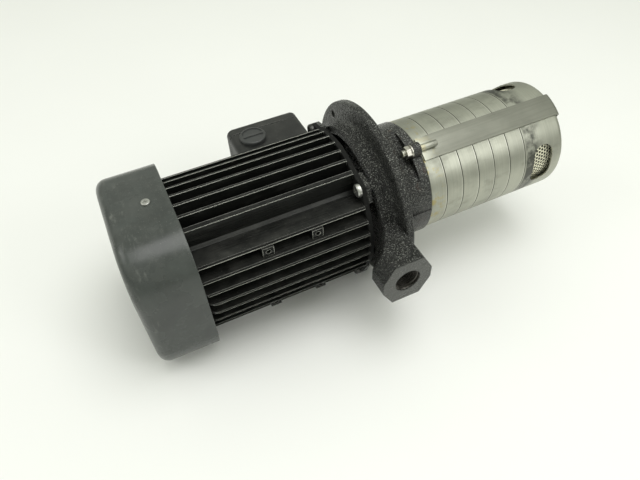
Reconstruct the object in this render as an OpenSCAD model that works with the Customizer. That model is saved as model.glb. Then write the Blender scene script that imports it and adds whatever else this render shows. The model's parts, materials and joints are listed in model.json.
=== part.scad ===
// Immersible multistage coolant pump, lying on its flange rim and fan cover as it is stored.
// All pieces are drawn along the shaft, with the mounting face of the flange at zero and the
// suction end towards +X, then laid down by the tilt that the flange and the cover give.

/* [Motor] */
// Fan cover, outside size across its flat sides
cover_w = 145; // [142:1:152]
// Fan cover, length along the shaft
cover_l = 54; // [48:1:64]
// Fan cover, radius of the four long corners
cover_corner_r = 42; // [30:1:50]
// Fan cover, radius of the rounded back edge
cover_edge_r = 10; // [6:0.5:14]
// Fan cover, thickness of the sheet
cover_wall = 2; // [1.5:0.1:3]
// How far the cover laps over the finned housing
cover_lap = 13; // [9:1:18]
// Finned housing, length
housing_l = 163.6; // [150:0.2:190]
// How far the cover stands proud of the fin tips
cover_proud = 1; // [0.5:0.25:2]
// Clearance between the fins and the cover that slides over them
cover_slip = 0.5; // [0.3:0.1:0.8]
// Outside radius of the housing tube under the fins
tube_r = 57; // [56:0.5:59]
// Wall of the housing tube
tube_wall = 5; // [4:0.5:6]
// Thickness of one fin
fin_t = 2.2; // [1.6:0.1:3]
// Thickness of the two outer fins of the top and bottom rows
edge_fin_t = 3.4; // [2.6:0.1:4]
// Pitch of the seven fins on top and below
top_fin_pitch = 11.4; // [10:0.1:11.8]
// Pitch of the eight fins on each side
side_fin_pitch = 11.7; // [10.5:0.1:12]
// Plate thickness of the drive end shield
shield_t = 4.4; // [3.4:0.2:5.4]
// Plate thickness of the rear end shield
rear_plate_t = 5; // [4:0.5:7]
// From the rear end of the housing to the stator core
rear_room = 53.8; // [50:0.2:60]
// From the stator core to the drive end of the housing
front_room = 39.8; // [38:0.2:46]
// Bore of the stator core, as a share of the inside of the housing tube
core_bore_share = 0.625; // [0.58:0.005:0.65]
// Air gap between rotor and stator
air_gap = 0.35; // [0.25:0.05:0.5]

/* [Bearings] */
// Drive end bearing, bore radius
db_bore_r = 10; // [9:0.5:10]
// Drive end bearing, outside radius
db_out_r = 23.5; // [23:0.5:25]
// Drive end bearing, width
db_w = 14; // [12:1:15]
// Drive end bearing, ball radius
db_ball_r = 3.97; // [3.5:0.1:4.2]
// Rear bearing, bore radius
rb_bore_r = 7.5; // [7:0.5:7.5]
// Rear bearing, outside radius
rb_out_r = 17.5; // [17:0.5:19]
// Rear bearing, width
rb_w = 11; // [10:1:12]
// Rear bearing, ball radius
rb_ball_r = 2.98; // [2.6:0.1:3.2]
// Number of balls in each bearing
balls = 8; // [7:1:8]

/* [Fan] */
// Fan, outside radius
fan_r = 58; // [50:1:62]
// Fan, height of its blades along the shaft
fan_blade_l = 18; // [12:1:20]
// Number of fan blades
fan_blades = 8; // [6:1:10]

/* [Terminal box] */
// Terminal box, length along the shaft
box_l = 76; // [70:1:84]
// Terminal box, height across the shaft
box_h = 74; // [70:1:75]
// Distance from the shaft to the outer face of the lid
box_reach = 106.5; // [102:0.5:118]
// Distance from the shaft to the foot of the box
box_foot = 63; // [62:0.5:66]
// Depth of the lid
lid_t = 10; // [7:0.5:13]
// Wall of the box and lid
box_wall = 3; // [2:0.5:4]
// Radius of the corners of the box
box_corner_r = 7; // [4:0.5:9]
// Radius of the head of a blanking plug
plug_r = 13.3; // [11:0.5:13.5]
// Height of the head of a blanking plug
plug_h = 4; // [3:0.5:6]

/* [Pump head] */
// Flange, outside radius
flange_r = 90; // [88:1:94]
// Flange, thickness
flange_t = 8; // [7:0.5:10]
// From the rim of the flange in to the middle of a mounting hole
bolt_edge = 10; // [8:0.5:11]
// Radius of a mounting hole
bolt_hole_r = 3.5; // [3:0.25:4]
// Stool between flange and motor, length
stool_l = 22; // [21:0.5:26]
// Stool, outside radius
stool_r = 70; // [69:0.5:70.5]
// Wall of the stool
stool_wall = 7; // [6:0.5:8]
// Length of the four side windows of the stool along the shaft
window_l = 9; // [7:0.5:10]
// Width of the four posts between the windows
post_w = 7; // [6:0.5:9]
// Angle of the four ears and posts from the two sides of the stool
ear_angle = 48; // [46:1:50]
// Neck below the flange, length
neck_l = 40; // [37:1:46]
// Neck, outside radius
neck_r = 56.6; // [56.4:0.1:58]
// Wet space inside the neck, radius
cavity_r = 43; // [40:0.5:44]
// Distance from the shaft to the face of the discharge port
port_reach = 117; // [112:1:125]
// Radius of the discharge port bore at the thread crests
port_bore_r = 12.1; // [11:0.1:13]
// Depth of the threaded length of the port
port_thread_l = 18; // [15:1:20]
// Half the width across the flats of the hexagonal port boss
port_flat = 23.6; // [21:0.2:24]
// Width of the port boss across its cut corners
port_cut_w = 47; // [46:0.5:52]

/* [Pump stages] */
// Outside radius of the stainless chambers
chamber_r = 55.65; // [55:0.05:56]
// Sheet thickness of the chambers
chamber_wall = 1.5; // [1.2:0.1:2]
// Length of one chamber along the shaft
chamber_pitch = 18.2; // [17.5:0.1:20]
// Visible length of the first chamber
first_chamber_l = 17.2; // [17:0.1:19]
// Suction casing, length
suction_l = 48.3; // [46:0.5:56]
// Suction casing, radius of the rounded end
suction_edge_r = 6; // [4:0.5:8]
// Suction window, length along the shaft
inlet_l = 22; // [18:0.5:24]
// Suction window, angle that it spans
inlet_span = 44; // [36:1:46]
// Angle of a suction window from the middle of the nearer strap
inlet_angle = 58.5; // [56:0.5:62]
// Strainer, outside radius
strainer_r = 50.5; // [49:0.5:50.9]
// Radius of a strainer hole
strainer_hole_r = 1.1; // [0.8:0.1:1.3]
// Pitch of the strainer holes
strainer_pitch = 4.6; // [4.2:0.1:6]
// Impeller, outside radius
impeller_r = 43; // [38:1:45]
// Radius of an impeller eye skirt
eye_r = 19; // [17:0.5:19.5]
// Number of blades in an impeller
impeller_blades = 6; // [5:1:7]
// Radius of the pump shaft
pump_shaft_r = 6; // [5.5:0.1:6.2]

/* [Straps] */
// Angle of the visible strap above the port side
strap_angle = 65; // [60:1:68]
// Width of a strap
strap_w = 23.6; // [20:0.5:26]
// Thickness of a strap
strap_t = 1.5; // [1.2:0.1:2]
// Radius of the stud that is welded to a strap
stud_r = 3; // [2.5:0.1:3]

/* [Hidden] */

$fn = 64;
// One overrun for every cut
over = 1;
// Slip fit between a shaft and what sits on it
fit = 0.02;
// Running clearance between bodies that turn on each other
run_gap = 0.3;

// Places along the shaft
stool_x = -flange_t - stool_l;
shield_x = stool_x - shield_t;
housing_x = shield_x - housing_l;
rim_x = housing_x + cover_lap;
cover_x = rim_x - cover_l;
stack_x = neck_l + first_chamber_l;
chambers = 6;
suction_x = stack_x + (chambers - 1) * chamber_pitch;
end_x = suction_x + suction_l;
strap_end_x = end_x + strap_t;

// Places across the shaft
fin_tip_r = cover_w / 2 - cover_proud;
fin_seat_r = cover_w / 2 - cover_wall - cover_slip;
bolt_circle_r = flange_r - bolt_edge;
core_bore_r = core_bore_share * (tube_r - tube_wall);

// Rounding of the flange rim
rim_r = 2;
// Rounding where a strap folds over the end
fold_r = 5;
strap_r = chamber_r + run_gap + strap_t;

// The tilt at which the flange rim and the cover edge both touch the ground
cover_edge_x = cover_x + cover_edge_r;
cover_edge_z = cover_w / 2 - cover_edge_r;
rim_edge_x = rim_r - flange_t;
rim_edge_z = flange_r - rim_r;
span_x = rim_edge_x - cover_edge_x;
span_z = rim_edge_z - cover_edge_z;
rest_tilt = atan2(span_z, span_x) - asin((cover_edge_r - rim_r) / norm([span_x, span_z]));
rest_z = rim_edge_z * cos(rest_tilt) - rim_edge_x * sin(rest_tilt) + rim_r;
low_x = cover_edge_x * cos(rest_tilt) - cover_edge_z * sin(rest_tilt) - cover_edge_r;
fold_low_z = (strap_r - fold_r) * sin(strap_angle + asin(strap_w / 2 / strap_r));
high_x = (strap_end_x - fold_r) * cos(rest_tilt) + fold_low_z * sin(rest_tilt) + fold_r;
rest_x = -(low_x + high_x) / 2;
rest_y = (port_reach - box_reach) / 2;

// Lays a piece down from the shaft frame to the way that the pump rests
module rest() {
    translate([rest_x, rest_y, rest_z])
        rotate([0, -rest_tilt, 0])
            children();
}

// Puts flat outlines and turned pieces on the shaft: a drawing's x is +Y, its y is +Z
module along(x) {
    translate([x, 0, 0])
        rotate([90, 0, 90])
            children();
}

// A straight round bar on the shaft
module bar(x, l, r) {
    along(x) cylinder(h = l, r = r);
}

// A tube on the shaft
module tube(x, l, r_out, r_in) {
    along(x) difference() {
        cylinder(h = l, r = r_out);
        translate([0, 0, -over]) cylinder(h = l + 2 * over, r = r_in);
    }
}

// A round bar that lies along the shaft, away from it
module offset_bar(x, l, r, radius, angle) {
    along(x)
        rotate([0, 0, angle])
            translate([radius, 0, 0])
                cylinder(h = l, r = r);
}

// Points of an arc, from one angle to another, in equal steps
function arc(cx, cy, r, from, to, steps) =
    [for (i = [0:steps]) let (a = from + (to - from) * i / steps) [cx + r * cos(a), cy + r * sin(a)]];

// An outline with four flat sides and round corners
module rounded_square(w, h, r) {
    square([w - 2 * r, h], center = true);
    square([w, h - 2 * r], center = true);
    for (sx = [-1, 1], sy = [-1, 1])
        translate([sx * (w / 2 - r), sy * (h / 2 - r)]) circle(r = r);
}

// Cup with round corners and a round bottom edge, open towards +X
cup_faces = 32;
module cup_solid(x, l, w, corner_r, edge_r) {
    hull() {
        for (sy = [-1, 1], sz = [-1, 1]) {
            translate([x + edge_r, sy * (w / 2 - corner_r), sz * (w / 2 - corner_r)]) {
                rotate([0, 90, 0]) cylinder(h = l - edge_r, r = corner_r, $fn = cup_faces);
                rotate([0, 90, 0]) rotate_extrude($fn = cup_faces)
                    intersection() {
                        translate([corner_r - edge_r, 0]) circle(r = edge_r, $fn = cup_faces);
                        translate([0, -edge_r]) square([corner_r, edge_r]);
                    }
            }
        }
    }
}

cover_screw_r = 3.9;
cover_screw_in = 18.7;
cover_screw_x = rim_x - cover_screw_in;
cover_screw_angles = [90, 270];
grille_rings = 4;
grille_slots = 8;
grille_slot_w = 3.6;
grille_pitch = 10;
grille_first_r = 15;
grille_web = 6;

module fan_cover() {
    color([0.17, 0.17, 0.18]) rest() difference() {
        cup_solid(cover_x, cover_l, cover_w, cover_corner_r, cover_edge_r);
        cup_solid(cover_x + cover_wall, cover_l, cover_w - 2 * cover_wall,
            cover_corner_r - cover_wall, cover_edge_r - cover_wall);
        along(cover_x - over)
            linear_extrude(height = cover_wall + 2 * over)
                grille_outline();
        for (a = cover_screw_angles)
            along(cover_screw_x)
                rotate([0, 0, a])
                    translate([cover_w / 2 - cover_wall - over, 0, 0])
                        rotate([0, 90, 0])
                            cylinder(h = cover_wall + 2 * over, r = cover_shank_r + fit, $fn = 16);
    }
}

// Rings of curved slots, parted by straight webs
module grille_outline() {
    difference() {
        for (i = [0:grille_rings - 1]) {
            r = grille_first_r + i * grille_pitch;
            difference() {
                circle(r = r + grille_slot_w, $fn = 40);
                circle(r = r, $fn = 40);
            }
        }
        for (i = [0:grille_slots / 2 - 1])
            rotate([0, 0, i * 360 / grille_slots])
                square([cover_w, grille_web], center = true);
    }
}

cover_shank_r = 2;
cover_shank_l = 7;
screw_head_h = 1.6;

module fan_cover_screws() {
    color([0.62, 0.62, 0.6]) rest() along(cover_screw_x)
        for (a = cover_screw_angles)
            rotate([0, 0, a]) {
                translate([cover_w / 2 - cover_shank_l, 0, 0])
                    rotate([0, 90, 0])
                        cylinder(h = cover_shank_l, r = cover_shank_r);
                translate([cover_w / 2, 0, 0])
                    rotate([0, 90, 0])
                        pan_head(cover_screw_r, screw_head_h);
            }
}

// A pan head with a cross recess, standing on its seat
module pan_head(r, h) {
    edge = h / 2;
    difference() {
        rotate_extrude()
            polygon(concat([[0, 0], [r, 0]], arc(r - edge, h - edge, edge, 0, 90, 4), [[0, h]]));
        for (a = [0, 90])
            rotate([0, 0, a])
                translate([-r / 2, -r / 10, h / 2])
                    cube([r, r / 5, h]);
    }
}

// Finned housing

top_fins = 7;
side_fins = 8;

// Tube with straight fins that all end on one circle
module housing_outline() {
    difference() {
        union() {
            circle(r = tube_r);
            intersection() {
                circle(r = fin_tip_r);
                union() {
                    for (i = [0:top_fins - 1])
                        fin_bar((i - (top_fins - 1) / 2) * top_fin_pitch,
                            i % (top_fins - 1) == 0 ? edge_fin_t : fin_t, 0);
                    for (i = [0:side_fins - 1])
                        fin_bar((i - (side_fins - 1) / 2) * side_fin_pitch, fin_t, 90);
                }
            }
        }
        circle(r = tube_r - tube_wall);
        difference() {
            corner_clearance();
            circle(r = tube_r);
        }
    }
}

// The open corners, where only the outermost fin of each row reaches out
module corner_clearance() {
    top_y = (top_fins - 1) / 2 * top_fin_pitch + edge_fin_t / 2;
    side_y = (side_fins - 1) / 2 * side_fin_pitch + fin_t / 2;
    for (mx = [0, 1], my = [0, 1])
        mirror([mx, 0])
            mirror([0, my])
                translate([top_y, side_y])
                    square([fin_tip_r, fin_tip_r]);
}

// Two opposite fins, drawn as one bar right through
module fin_bar(place, t, angle) {
    rotate([0, 0, angle])
        translate([place - t / 2, -fin_tip_r])
            square([t, 2 * fin_tip_r]);
}

side_round_r = 11;
side_round_l = 8.2;

// The side fins are rounded down to a flat that goes under the cover
module side_round() {
    mid_y = fin_tip_r - side_round_r;
    flat_y = mid_y + sqrt(pow(side_round_r, 2) - pow(side_round_l, 2));
    for (my = [0, 1])
        mirror([0, my, 0])
            translate([0, 0, -fin_tip_r])
                linear_extrude(height = 2 * fin_tip_r) difference() {
                    translate([housing_x - over, flat_y])
                        square([cover_lap + side_round_l + over, side_round_r]);
                    translate([rim_x + side_round_l, mid_y]) circle(r = side_round_r);
                }
}

// How far the terminal box reaches over the end shield
box_over = 4.9;
box_x = shield_x + box_over - box_l;
// Room in the fins round the terminal box, and the way down for the leads
pad_gap = 0.5;
duct_r = 10;

module stator_housing() {
    color([0.12, 0.12, 0.12]) rest() difference() {
        along(housing_x) linear_extrude(height = housing_l) housing_outline();
        along(housing_x - over) linear_extrude(height = cover_lap + over) difference() {
            circle(r = fin_tip_r + over);
            circle(r = fin_seat_r);
        }
        side_round();
        translate([box_x - pad_gap, box_foot, -box_h / 2 - pad_gap])
            cube([housing_l, fin_tip_r, box_h + 2 * pad_gap]);
        translate([box_x + box_l / 2, box_foot + over, 0])
            rotate([90, 0, 0])
                cylinder(h = box_foot, r = duct_r);
        shield_screw_holes(shield_x - shield_screw_l, shield_screw_l + over);
        shield_screw_holes(housing_x - over, shield_screw_l + over);
    }
}

// Tapped blocks for a foot or bracket, held between the two outermost fins of each side
foot_first_x = 72;
foot_pitch = 45;
foot_l = 10;
// Face of a block, as a share of the way from the tube to the fin tips
foot_face_share = 0.345;
foot_face = tube_r + foot_face_share * (fin_tip_r - tube_r);
foot_hole_r = 2.1;
foot_hole_l = 8;

module foot_blocks() {
    block_w = side_fin_pitch - fin_t - 2 * fit;
    block_z = (side_fins / 2 - 1) * side_fin_pitch;
    top_row_y = (top_fins - 1) / 2 * top_fin_pitch + edge_fin_t / 2 + fit;
    color([0.13, 0.13, 0.13]) rest()
        for (i = [0, 1], sz = [-1, 1])
            translate([housing_x + foot_first_x + i * foot_pitch, 0, 0]) difference() {
                translate([-foot_l / 2, -foot_face, sz * block_z - block_w / 2])
                    cube([foot_l, foot_face - top_row_y, block_w]);
                bar(-foot_l, 2 * foot_l, tube_r + fit);
                translate([0, foot_hole_l - foot_face, sz * block_z])
                    rotate([90, 0, 0])
                        cylinder(h = foot_hole_l + over, r = foot_hole_r);
            }
}

// Screws that hold the two end shields to the housing tube
shield_screw_r = 1.6;
shield_screw_head_r = 2.4;
shield_screw_head_h = 2;
shield_screw_l = 12;
shield_screw_circle = tube_r - tube_wall / 2;
shield_screw_angles = [22.5:90:292.5];

module shield_screw_holes(x, l) {
    for (a = shield_screw_angles)
        offset_bar(x, l, shield_screw_r + fit, shield_screw_circle, a);
}

module end_shield_screws() {
    color([0.62, 0.62, 0.6]) rest()
        for (a = shield_screw_angles) {
            offset_bar(shield_x - shield_screw_l + over,
                shield_screw_l - over + shield_t - shield_screw_head_h, shield_screw_r,
                shield_screw_circle, a);
            offset_bar(stool_x - shield_screw_head_h, shield_screw_head_h, shield_screw_head_r,
                shield_screw_circle, a);
            offset_bar(housing_x - rear_plate_t, rear_plate_t + shield_screw_l - over, shield_screw_r,
                shield_screw_circle, a);
            offset_bar(housing_x - rear_plate_t - shield_screw_head_h, shield_screw_head_h,
                shield_screw_head_r, shield_screw_circle, a);
        }
}

// Stator

core_x = housing_x + rear_room;
core_l = housing_l - rear_room - front_room;
slots = 24;
slot_w = 4.6;
slot_lip = 1.2;
// Ring of the core that is left outside the slots
yoke_t = 5.3;
slot_depth = tube_r - tube_wall - fit - yoke_t - core_bore_r - slot_lip;
overhang_l = 20;
overhang_r = core_bore_r + slot_lip + slot_depth;
overhang_edge_share = 0.385;
overhang_edge = overhang_edge_share * slot_depth;

module slot_outline(shrink) {
    for (i = [0:slots - 1])
        rotate([0, 0, (i + 0.5) * 360 / slots])
            translate([core_bore_r + slot_lip + shrink, shrink - slot_w / 2])
                square([slot_depth - 2 * shrink, slot_w - 2 * shrink]);
}

module stator_core() {
    color([0.45, 0.46, 0.48]) rest() along(core_x) linear_extrude(height = core_l) difference() {
        circle(r = tube_r - tube_wall - fit);
        circle(r = core_bore_r);
        slot_outline(0);
    }
}

slot_liner = 0.25;

module stator_winding() {
    color([0.72, 0.36, 0.16]) rest() {
        along(core_x - over) linear_extrude(height = core_l + 2 * over) slot_outline(slot_liner);
        overhang(core_x - overhang_l - slot_liner);
        overhang(core_x + core_l + slot_liner);
    }
}

// The bundle of wire that stands out at each end of the core
module overhang(x) {
    in_r = core_bore_r + slot_lip;
    along(x) rotate_extrude() polygon(concat(
        [[in_r, 0], [overhang_r, 0]],
        arc(overhang_r - overhang_edge, overhang_l - overhang_edge, overhang_edge, 0, 90, 6),
        arc(in_r + overhang_edge, overhang_l - overhang_edge, overhang_edge, 90, 180, 6)));
}

// End shields

shield_spigot_l = 6;
shield_spigot_wall = 4;
hub_wall = 5;
hub_lip = 2;
hub_lip_r = 15.5;
db_x = shield_x - hub_lip - db_w;
shield_ribs = 8;
shield_rib_l = 10;
shield_rib_t = 3;

module drive_end_shield() {
    spigot_r = tube_r - tube_wall - fit;
    color([0.16, 0.16, 0.16]) rest() difference() {
        union() {
            along(shield_x) linear_extrude(height = shield_t) shield_outline();
            tube(shield_x - shield_spigot_l, shield_spigot_l, spigot_r, spigot_r - shield_spigot_wall);
            bar(db_x, shield_x - db_x, db_out_r + hub_wall);
            for (i = [0:shield_ribs - 1])
                along(shield_x - shield_rib_l)
                    rotate([0, 0, (i + 0.5) * 360 / shield_ribs])
                        translate([db_out_r + hub_wall / 2, -shield_rib_t / 2, 0])
                            cube([spigot_r - shield_spigot_wall / 2 - db_out_r - hub_wall / 2, shield_rib_t,
                                shield_rib_l + over]);
        }
        bar(db_x - over, db_w + over, db_out_r + fit);
        bar(db_x, stool_x - db_x + over, hub_lip_r);
        shield_screw_holes(shield_x - over, shield_t + 2 * over);
        for (a = shield_screw_angles)
            offset_bar(stool_x - shield_screw_head_h - fit, shield_screw_head_h + over,
                shield_screw_head_r + fit, shield_screw_circle, a);
        for (a = ear_angles)
            offset_bar(shield_x - over, shield_t + 2 * over, ear_hole_r, stool_screw_circle, a);
    }
}

// Round plate with four square ears that carry the screws to the stool
module shield_outline() {
    circle(r = stool_r);
    for (a = ear_angles) ear(a);
}

ear_angles = [ear_angle, 180 - ear_angle, 180 + ear_angle, 360 - ear_angle];
ear_hole_r = 3.3;

// One ear: two flanks that leave the round plate and meet in a sharp corner
module ear(a) {
    root_r = stool_r - over;
    flank = acos(stool_r / ear_corner_r);
    polygon([[0, 0], [root_r * cos(a - flank), root_r * sin(a - flank)],
        [ear_corner_r * cos(a), ear_corner_r * sin(a)],
        [root_r * cos(a + flank), root_r * sin(a + flank)]]);
}

rear_spring_gap = 2;
tab_w = 18;
tab_l = 9;

module rear_end_shield() {
    spigot_r = tube_r - tube_wall - fit;
    color([0.5, 0.51, 0.52]) rest() difference() {
        union() {
            bar(housing_x - rear_plate_t, rear_plate_t, tube_r + fin_t);
            tube(housing_x, shield_spigot_l, spigot_r, spigot_r - shield_spigot_wall);
            bar(housing_x, rb_x + rb_w - housing_x, rb_out_r + hub_wall);
            for (a = cover_screw_angles)
                along(cover_screw_x - tab_l / 2)
                    rotate([0, 0, a])
                        translate([tube_r - hub_wall, -tab_w / 2, 0])
                            cube([cover_w / 2 - cover_wall - fit - tube_r + hub_wall, tab_w, tab_l]);
        }
        bar(rb_x - rear_spring_gap, rb_w + rear_spring_gap + over, rb_out_r + fit);
        bar(cover_x, housing_x - cover_x + over, rb_bore_r + 2 * run_gap);
        shield_screw_holes(housing_x - rear_plate_t - over, rear_plate_t + 2 * over);
        for (a = cover_screw_angles)
            along(cover_screw_x)
                rotate([0, 0, a])
                    translate([cover_w / 2 - cover_shank_l - over, 0, 0])
                        rotate([0, 90, 0])
                            cylinder(h = cover_shank_l, r = cover_shank_r + fit);
    }
}

// Screws that hold the motor to the stool, one through each ear
stool_screw_out = 1;
stool_screw_r = 3;
stool_screw_head_r = 6;
// The screws stand on the stool's rim, with their heads clear of the housing tube
stool_screw_circle = max(stool_r + stool_screw_out, tube_r + stool_screw_head_r + run_gap);
stool_screw_head_h = 4;
stool_ear_t = 4;
stool_ear_reach = 14;
stool_screw_l = shield_t + stool_ear_t;
ear_corner_r = stool_screw_circle + stool_screw_head_r;

module stool_screws() {
    color([0.7, 0.7, 0.68]) rest()
        for (a = ear_angles) {
            offset_bar(shield_x, stool_screw_l, stool_screw_r, stool_screw_circle, a);
            along(shield_x)
                rotate([0, 0, a])
                    translate([stool_screw_circle, 0, 0])
                        rotate([180, 0, 0])
                            pan_head(stool_screw_head_r, stool_screw_head_h);
        }
}

// Bearings: rings with a groove for the balls, balls and a ribbon cage

groove_play = 0.06;
ring_share = 0.3;

// Half profile of a ring with the groove cut out
module bearing_ring(x, w, r_out, r_in, pitch_r, ball_r) {
    along(x) rotate_extrude() difference() {
        translate([r_in, 0]) square([r_out - r_in, w]);
        translate([pitch_r, w / 2]) circle(r = ball_r + groove_play);
    }
}

function pitch_radius(bore_r, out_r) = (bore_r + out_r) / 2;
function ring_depth(bore_r, out_r) = (out_r - bore_r) * ring_share;

db_pitch_r = pitch_radius(db_bore_r, db_out_r);
rb_pitch_r = pitch_radius(rb_bore_r, rb_out_r);
db_ring = ring_depth(db_bore_r, db_out_r);
rb_ring = ring_depth(rb_bore_r, rb_out_r);
rb_x = housing_x + rear_spring_gap;

module drive_bearing_outer() {
    color([0.75, 0.76, 0.78]) rest()
        bearing_ring(db_x, db_w, db_out_r, db_out_r - db_ring, db_pitch_r, db_ball_r);
}
module drive_bearing_inner() {
    color([0.75, 0.76, 0.78]) rest()
        bearing_ring(db_x, db_w, db_bore_r + db_ring, db_bore_r + fit, db_pitch_r, db_ball_r);
}
module rear_bearing_outer() {
    color([0.75, 0.76, 0.78]) rest()
        bearing_ring(rb_x, rb_w, rb_out_r, rb_out_r - rb_ring, rb_pitch_r, rb_ball_r);
}
module rear_bearing_inner() {
    color([0.75, 0.76, 0.78]) rest()
        bearing_ring(rb_x, rb_w, rb_bore_r + rb_ring, rb_bore_r + fit, rb_pitch_r, rb_ball_r);
}

module ball_set(x, w, pitch_r, ball_r) {
    color([0.8, 0.8, 0.82]) rest() along(x + w / 2)
        for (i = [0:balls - 1])
            rotate([0, 0, i * 360 / balls])
                translate([pitch_r, 0, 0])
                    sphere(r = ball_r);
}

cage_t = 1.2;
module ball_cage(x, w, pitch_r, ball_r) {
    cage_w = ball_r * 2 + cage_t;
    color([0.6, 0.6, 0.55]) rest() along(x + w / 2) difference() {
        translate([0, 0, -cage_w / 2]) cylinder(h = cage_w, r = pitch_r + cage_t / 2);
        translate([0, 0, -cage_w]) cylinder(h = 2 * cage_w, r = pitch_r - cage_t / 2);
        for (i = [0:balls - 1])
            rotate([0, 0, i * 360 / balls])
                translate([pitch_r - cage_t, 0, 0])
                    rotate([0, 90, 0])
                        cylinder(h = 2 * cage_t, r = ball_r + groove_play);
    }
}

module drive_bearing_balls() { ball_set(db_x, db_w, db_pitch_r, db_ball_r); }
module drive_bearing_cage() { ball_cage(db_x, db_w, db_pitch_r, db_ball_r); }
module rear_bearing_balls() { ball_set(rb_x, rb_w, rb_pitch_r, rb_ball_r); }
module rear_bearing_cage() { ball_cage(rb_x, rb_w, rb_pitch_r, rb_ball_r); }

module wave_spring() {
    color([0.55, 0.56, 0.58]) rest()
        tube(rb_x - rear_spring_gap, rear_spring_gap, rb_out_r - fit, rb_out_r - rb_ring);
}

// Rotating parts of the motor

rotor_r = core_bore_r - air_gap;
rotor_seat_r = 12;
stub_r = pump_shaft_r;
fan_seat_r = 7;
clip_t = 1;
clip_groove = 0.8;
v_ring_l = 3.6;
coupling_end_gap = 4;
coupling_r = 11;
coupling_x = stool_x + v_ring_l;
coupling_l = stool_l - v_ring_l - coupling_end_gap;
joint_x = coupling_x + coupling_l / 2;
fan_back_gap = 12;
fan_hub_x = cover_x + fan_back_gap;
fan_hub_l = 16;

module motor_shaft() {
    rear_shoulder_x = rb_x + rb_w;
    color([0.6, 0.61, 0.63]) rest() difference() {
        union() {
            bar(fan_hub_x - 2 * clip_t - clip_groove, rb_x - fan_hub_x + 2 * clip_t + clip_groove,
                fan_seat_r);
            bar(rb_x, rb_w, rb_bore_r);
            bar(rear_shoulder_x, core_x - rear_shoulder_x, db_bore_r);
            bar(core_x, core_l + cage_l, rotor_seat_r);
            bar(core_x + core_l + cage_l, db_x - core_x - core_l - cage_l, rotor_seat_r);
            bar(db_x, db_w, db_bore_r);
            bar(db_x + db_w, shield_x - db_x - db_w, db_bore_r);
            bar(shield_x, joint_x - shield_x, stub_r);
        }
        tube(fan_hub_x - clip_t - clip_groove + fit, clip_t, fan_seat_r + over, fan_seat_r - clip_groove);
    }
}

cage_l = 9;
cage_edge = 2;
cage_vanes = 8;
vane_l = 8;
// From a vane's outer edge out to the edge of its ring
vane_step = 2.15;

module rotor() {
    vane_w = rotor_r - cage_edge - vane_step - rotor_seat_r - vane_l;
    color([0.5, 0.5, 0.52]) rest() difference() {
        union() {
            bar(core_x, core_l, rotor_r);
            for (x = [core_x - cage_l, core_x + core_l]) bar(x, cage_l, rotor_r - cage_edge);
            for (i = [0:cage_vanes - 1]) {
                along(core_x - cage_l - vane_l)
                    rotate([0, 0, i * 360 / cage_vanes])
                        translate([rotor_seat_r + vane_l, -cage_edge / 2, 0])
                            cube([vane_w, cage_edge, vane_l + over]);
                along(core_x + core_l + cage_l - over)
                    rotate([0, 0, i * 360 / cage_vanes])
                        translate([rotor_seat_r + vane_l, -cage_edge / 2, 0])
                            cube([vane_w, cage_edge, vane_l + over]);
            }
        }
        bar(core_x - over, core_l + cage_l + 2 * over, rotor_seat_r + fit);
        bar(core_x - cage_l - over, cage_l + 2 * over, rotor_seat_r + vane_l);
        bar(core_x + core_l, cage_l + over, rotor_seat_r + vane_l);
    }
}

fan_hub_r = 12;
fan_plate_t = 2;
fan_blade_t = 2;

module fan() {
    blade_in = fan_hub_r + 3 * fan_plate_t;
    color([0.1, 0.1, 0.11]) rest() difference() {
        union() {
            bar(fan_hub_x, fan_hub_l, fan_hub_r);
            bar(fan_hub_x + fan_hub_l - fan_plate_t, fan_plate_t, fan_r);
            for (i = [0:fan_blades - 1])
                along(fan_hub_x + fan_hub_l - fan_plate_t - fan_blade_l + over)
                    rotate([0, 0, i * 360 / fan_blades])
                        translate([blade_in, -fan_blade_t / 2, 0])
                            cube([fan_r - blade_in, fan_blade_t, fan_blade_l]);
        }
        bar(fan_hub_x - over, fan_hub_l + 2 * over, fan_seat_r + fit);
    }
}

module fan_clip() {
    color([0.35, 0.35, 0.36]) rest() difference() {
        tube(fan_hub_x - clip_t - clip_groove + 2 * fit, clip_t - 2 * fit, fan_seat_r + 2 * clip_t,
            fan_seat_r - clip_groove + fit);
        along(fan_hub_x - clip_t - clip_groove - over)
            translate([0, -clip_t, 0])
                cube([fan_hub_r, 2 * clip_t, clip_t + 2 * over]);
    }
}

v_lip_over = 2;
v_lip_w = 4;
v_lip_t = 0.7;
v_neck_share = 0.6;

// Rubber ring with a lip that runs against the end shield
module v_ring() {
    lip_r = hub_lip_r + v_lip_over;
    body_r = lip_r - v_lip_w;
    color([0.08, 0.08, 0.08]) rest() along(stool_x) rotate_extrude() polygon([
        [stub_r + fit, 0], [body_r, 0], [lip_r, run_gap], [lip_r, run_gap + v_lip_t],
        [body_r, v_ring_l * v_neck_share], [body_r - v_lip_t, v_ring_l - run_gap],
        [stub_r + fit, v_ring_l - run_gap]]);
}

module coupling() {
    color([0.66, 0.67, 0.68]) rest() difference() {
        bar(coupling_x, coupling_l, coupling_r);
        bar(coupling_x - over, coupling_l + 2 * over, stub_r + fit);
        for (x = coupling_screw_xs, a = [0, 90])
            along(x)
                rotate([0, 0, a])
                    rotate([0, 90, 0])
                        cylinder(h = coupling_r + over, r = grub_r + fit);
    }
}

grub_r = 2;
coupling_screw_xs = [coupling_x + coupling_l / 4, coupling_x + coupling_l * 3 / 4];

module coupling_screws() {
    color([0.2, 0.2, 0.21]) rest()
        for (x = coupling_screw_xs, a = [0, 90])
            along(x)
                rotate([0, 0, a])
                    rotate([0, 90, 0])
                        difference() {
                            translate([0, 0, stub_r + fit])
                                cylinder(h = coupling_r - stub_r - 4 * fit, r = grub_r);
                            translate([0, 0, (coupling_r + stub_r) / 2])
                                cylinder(h = coupling_r, r = grub_r / 2, $fn = 6);
                        }
}

// Terminal box

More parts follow.
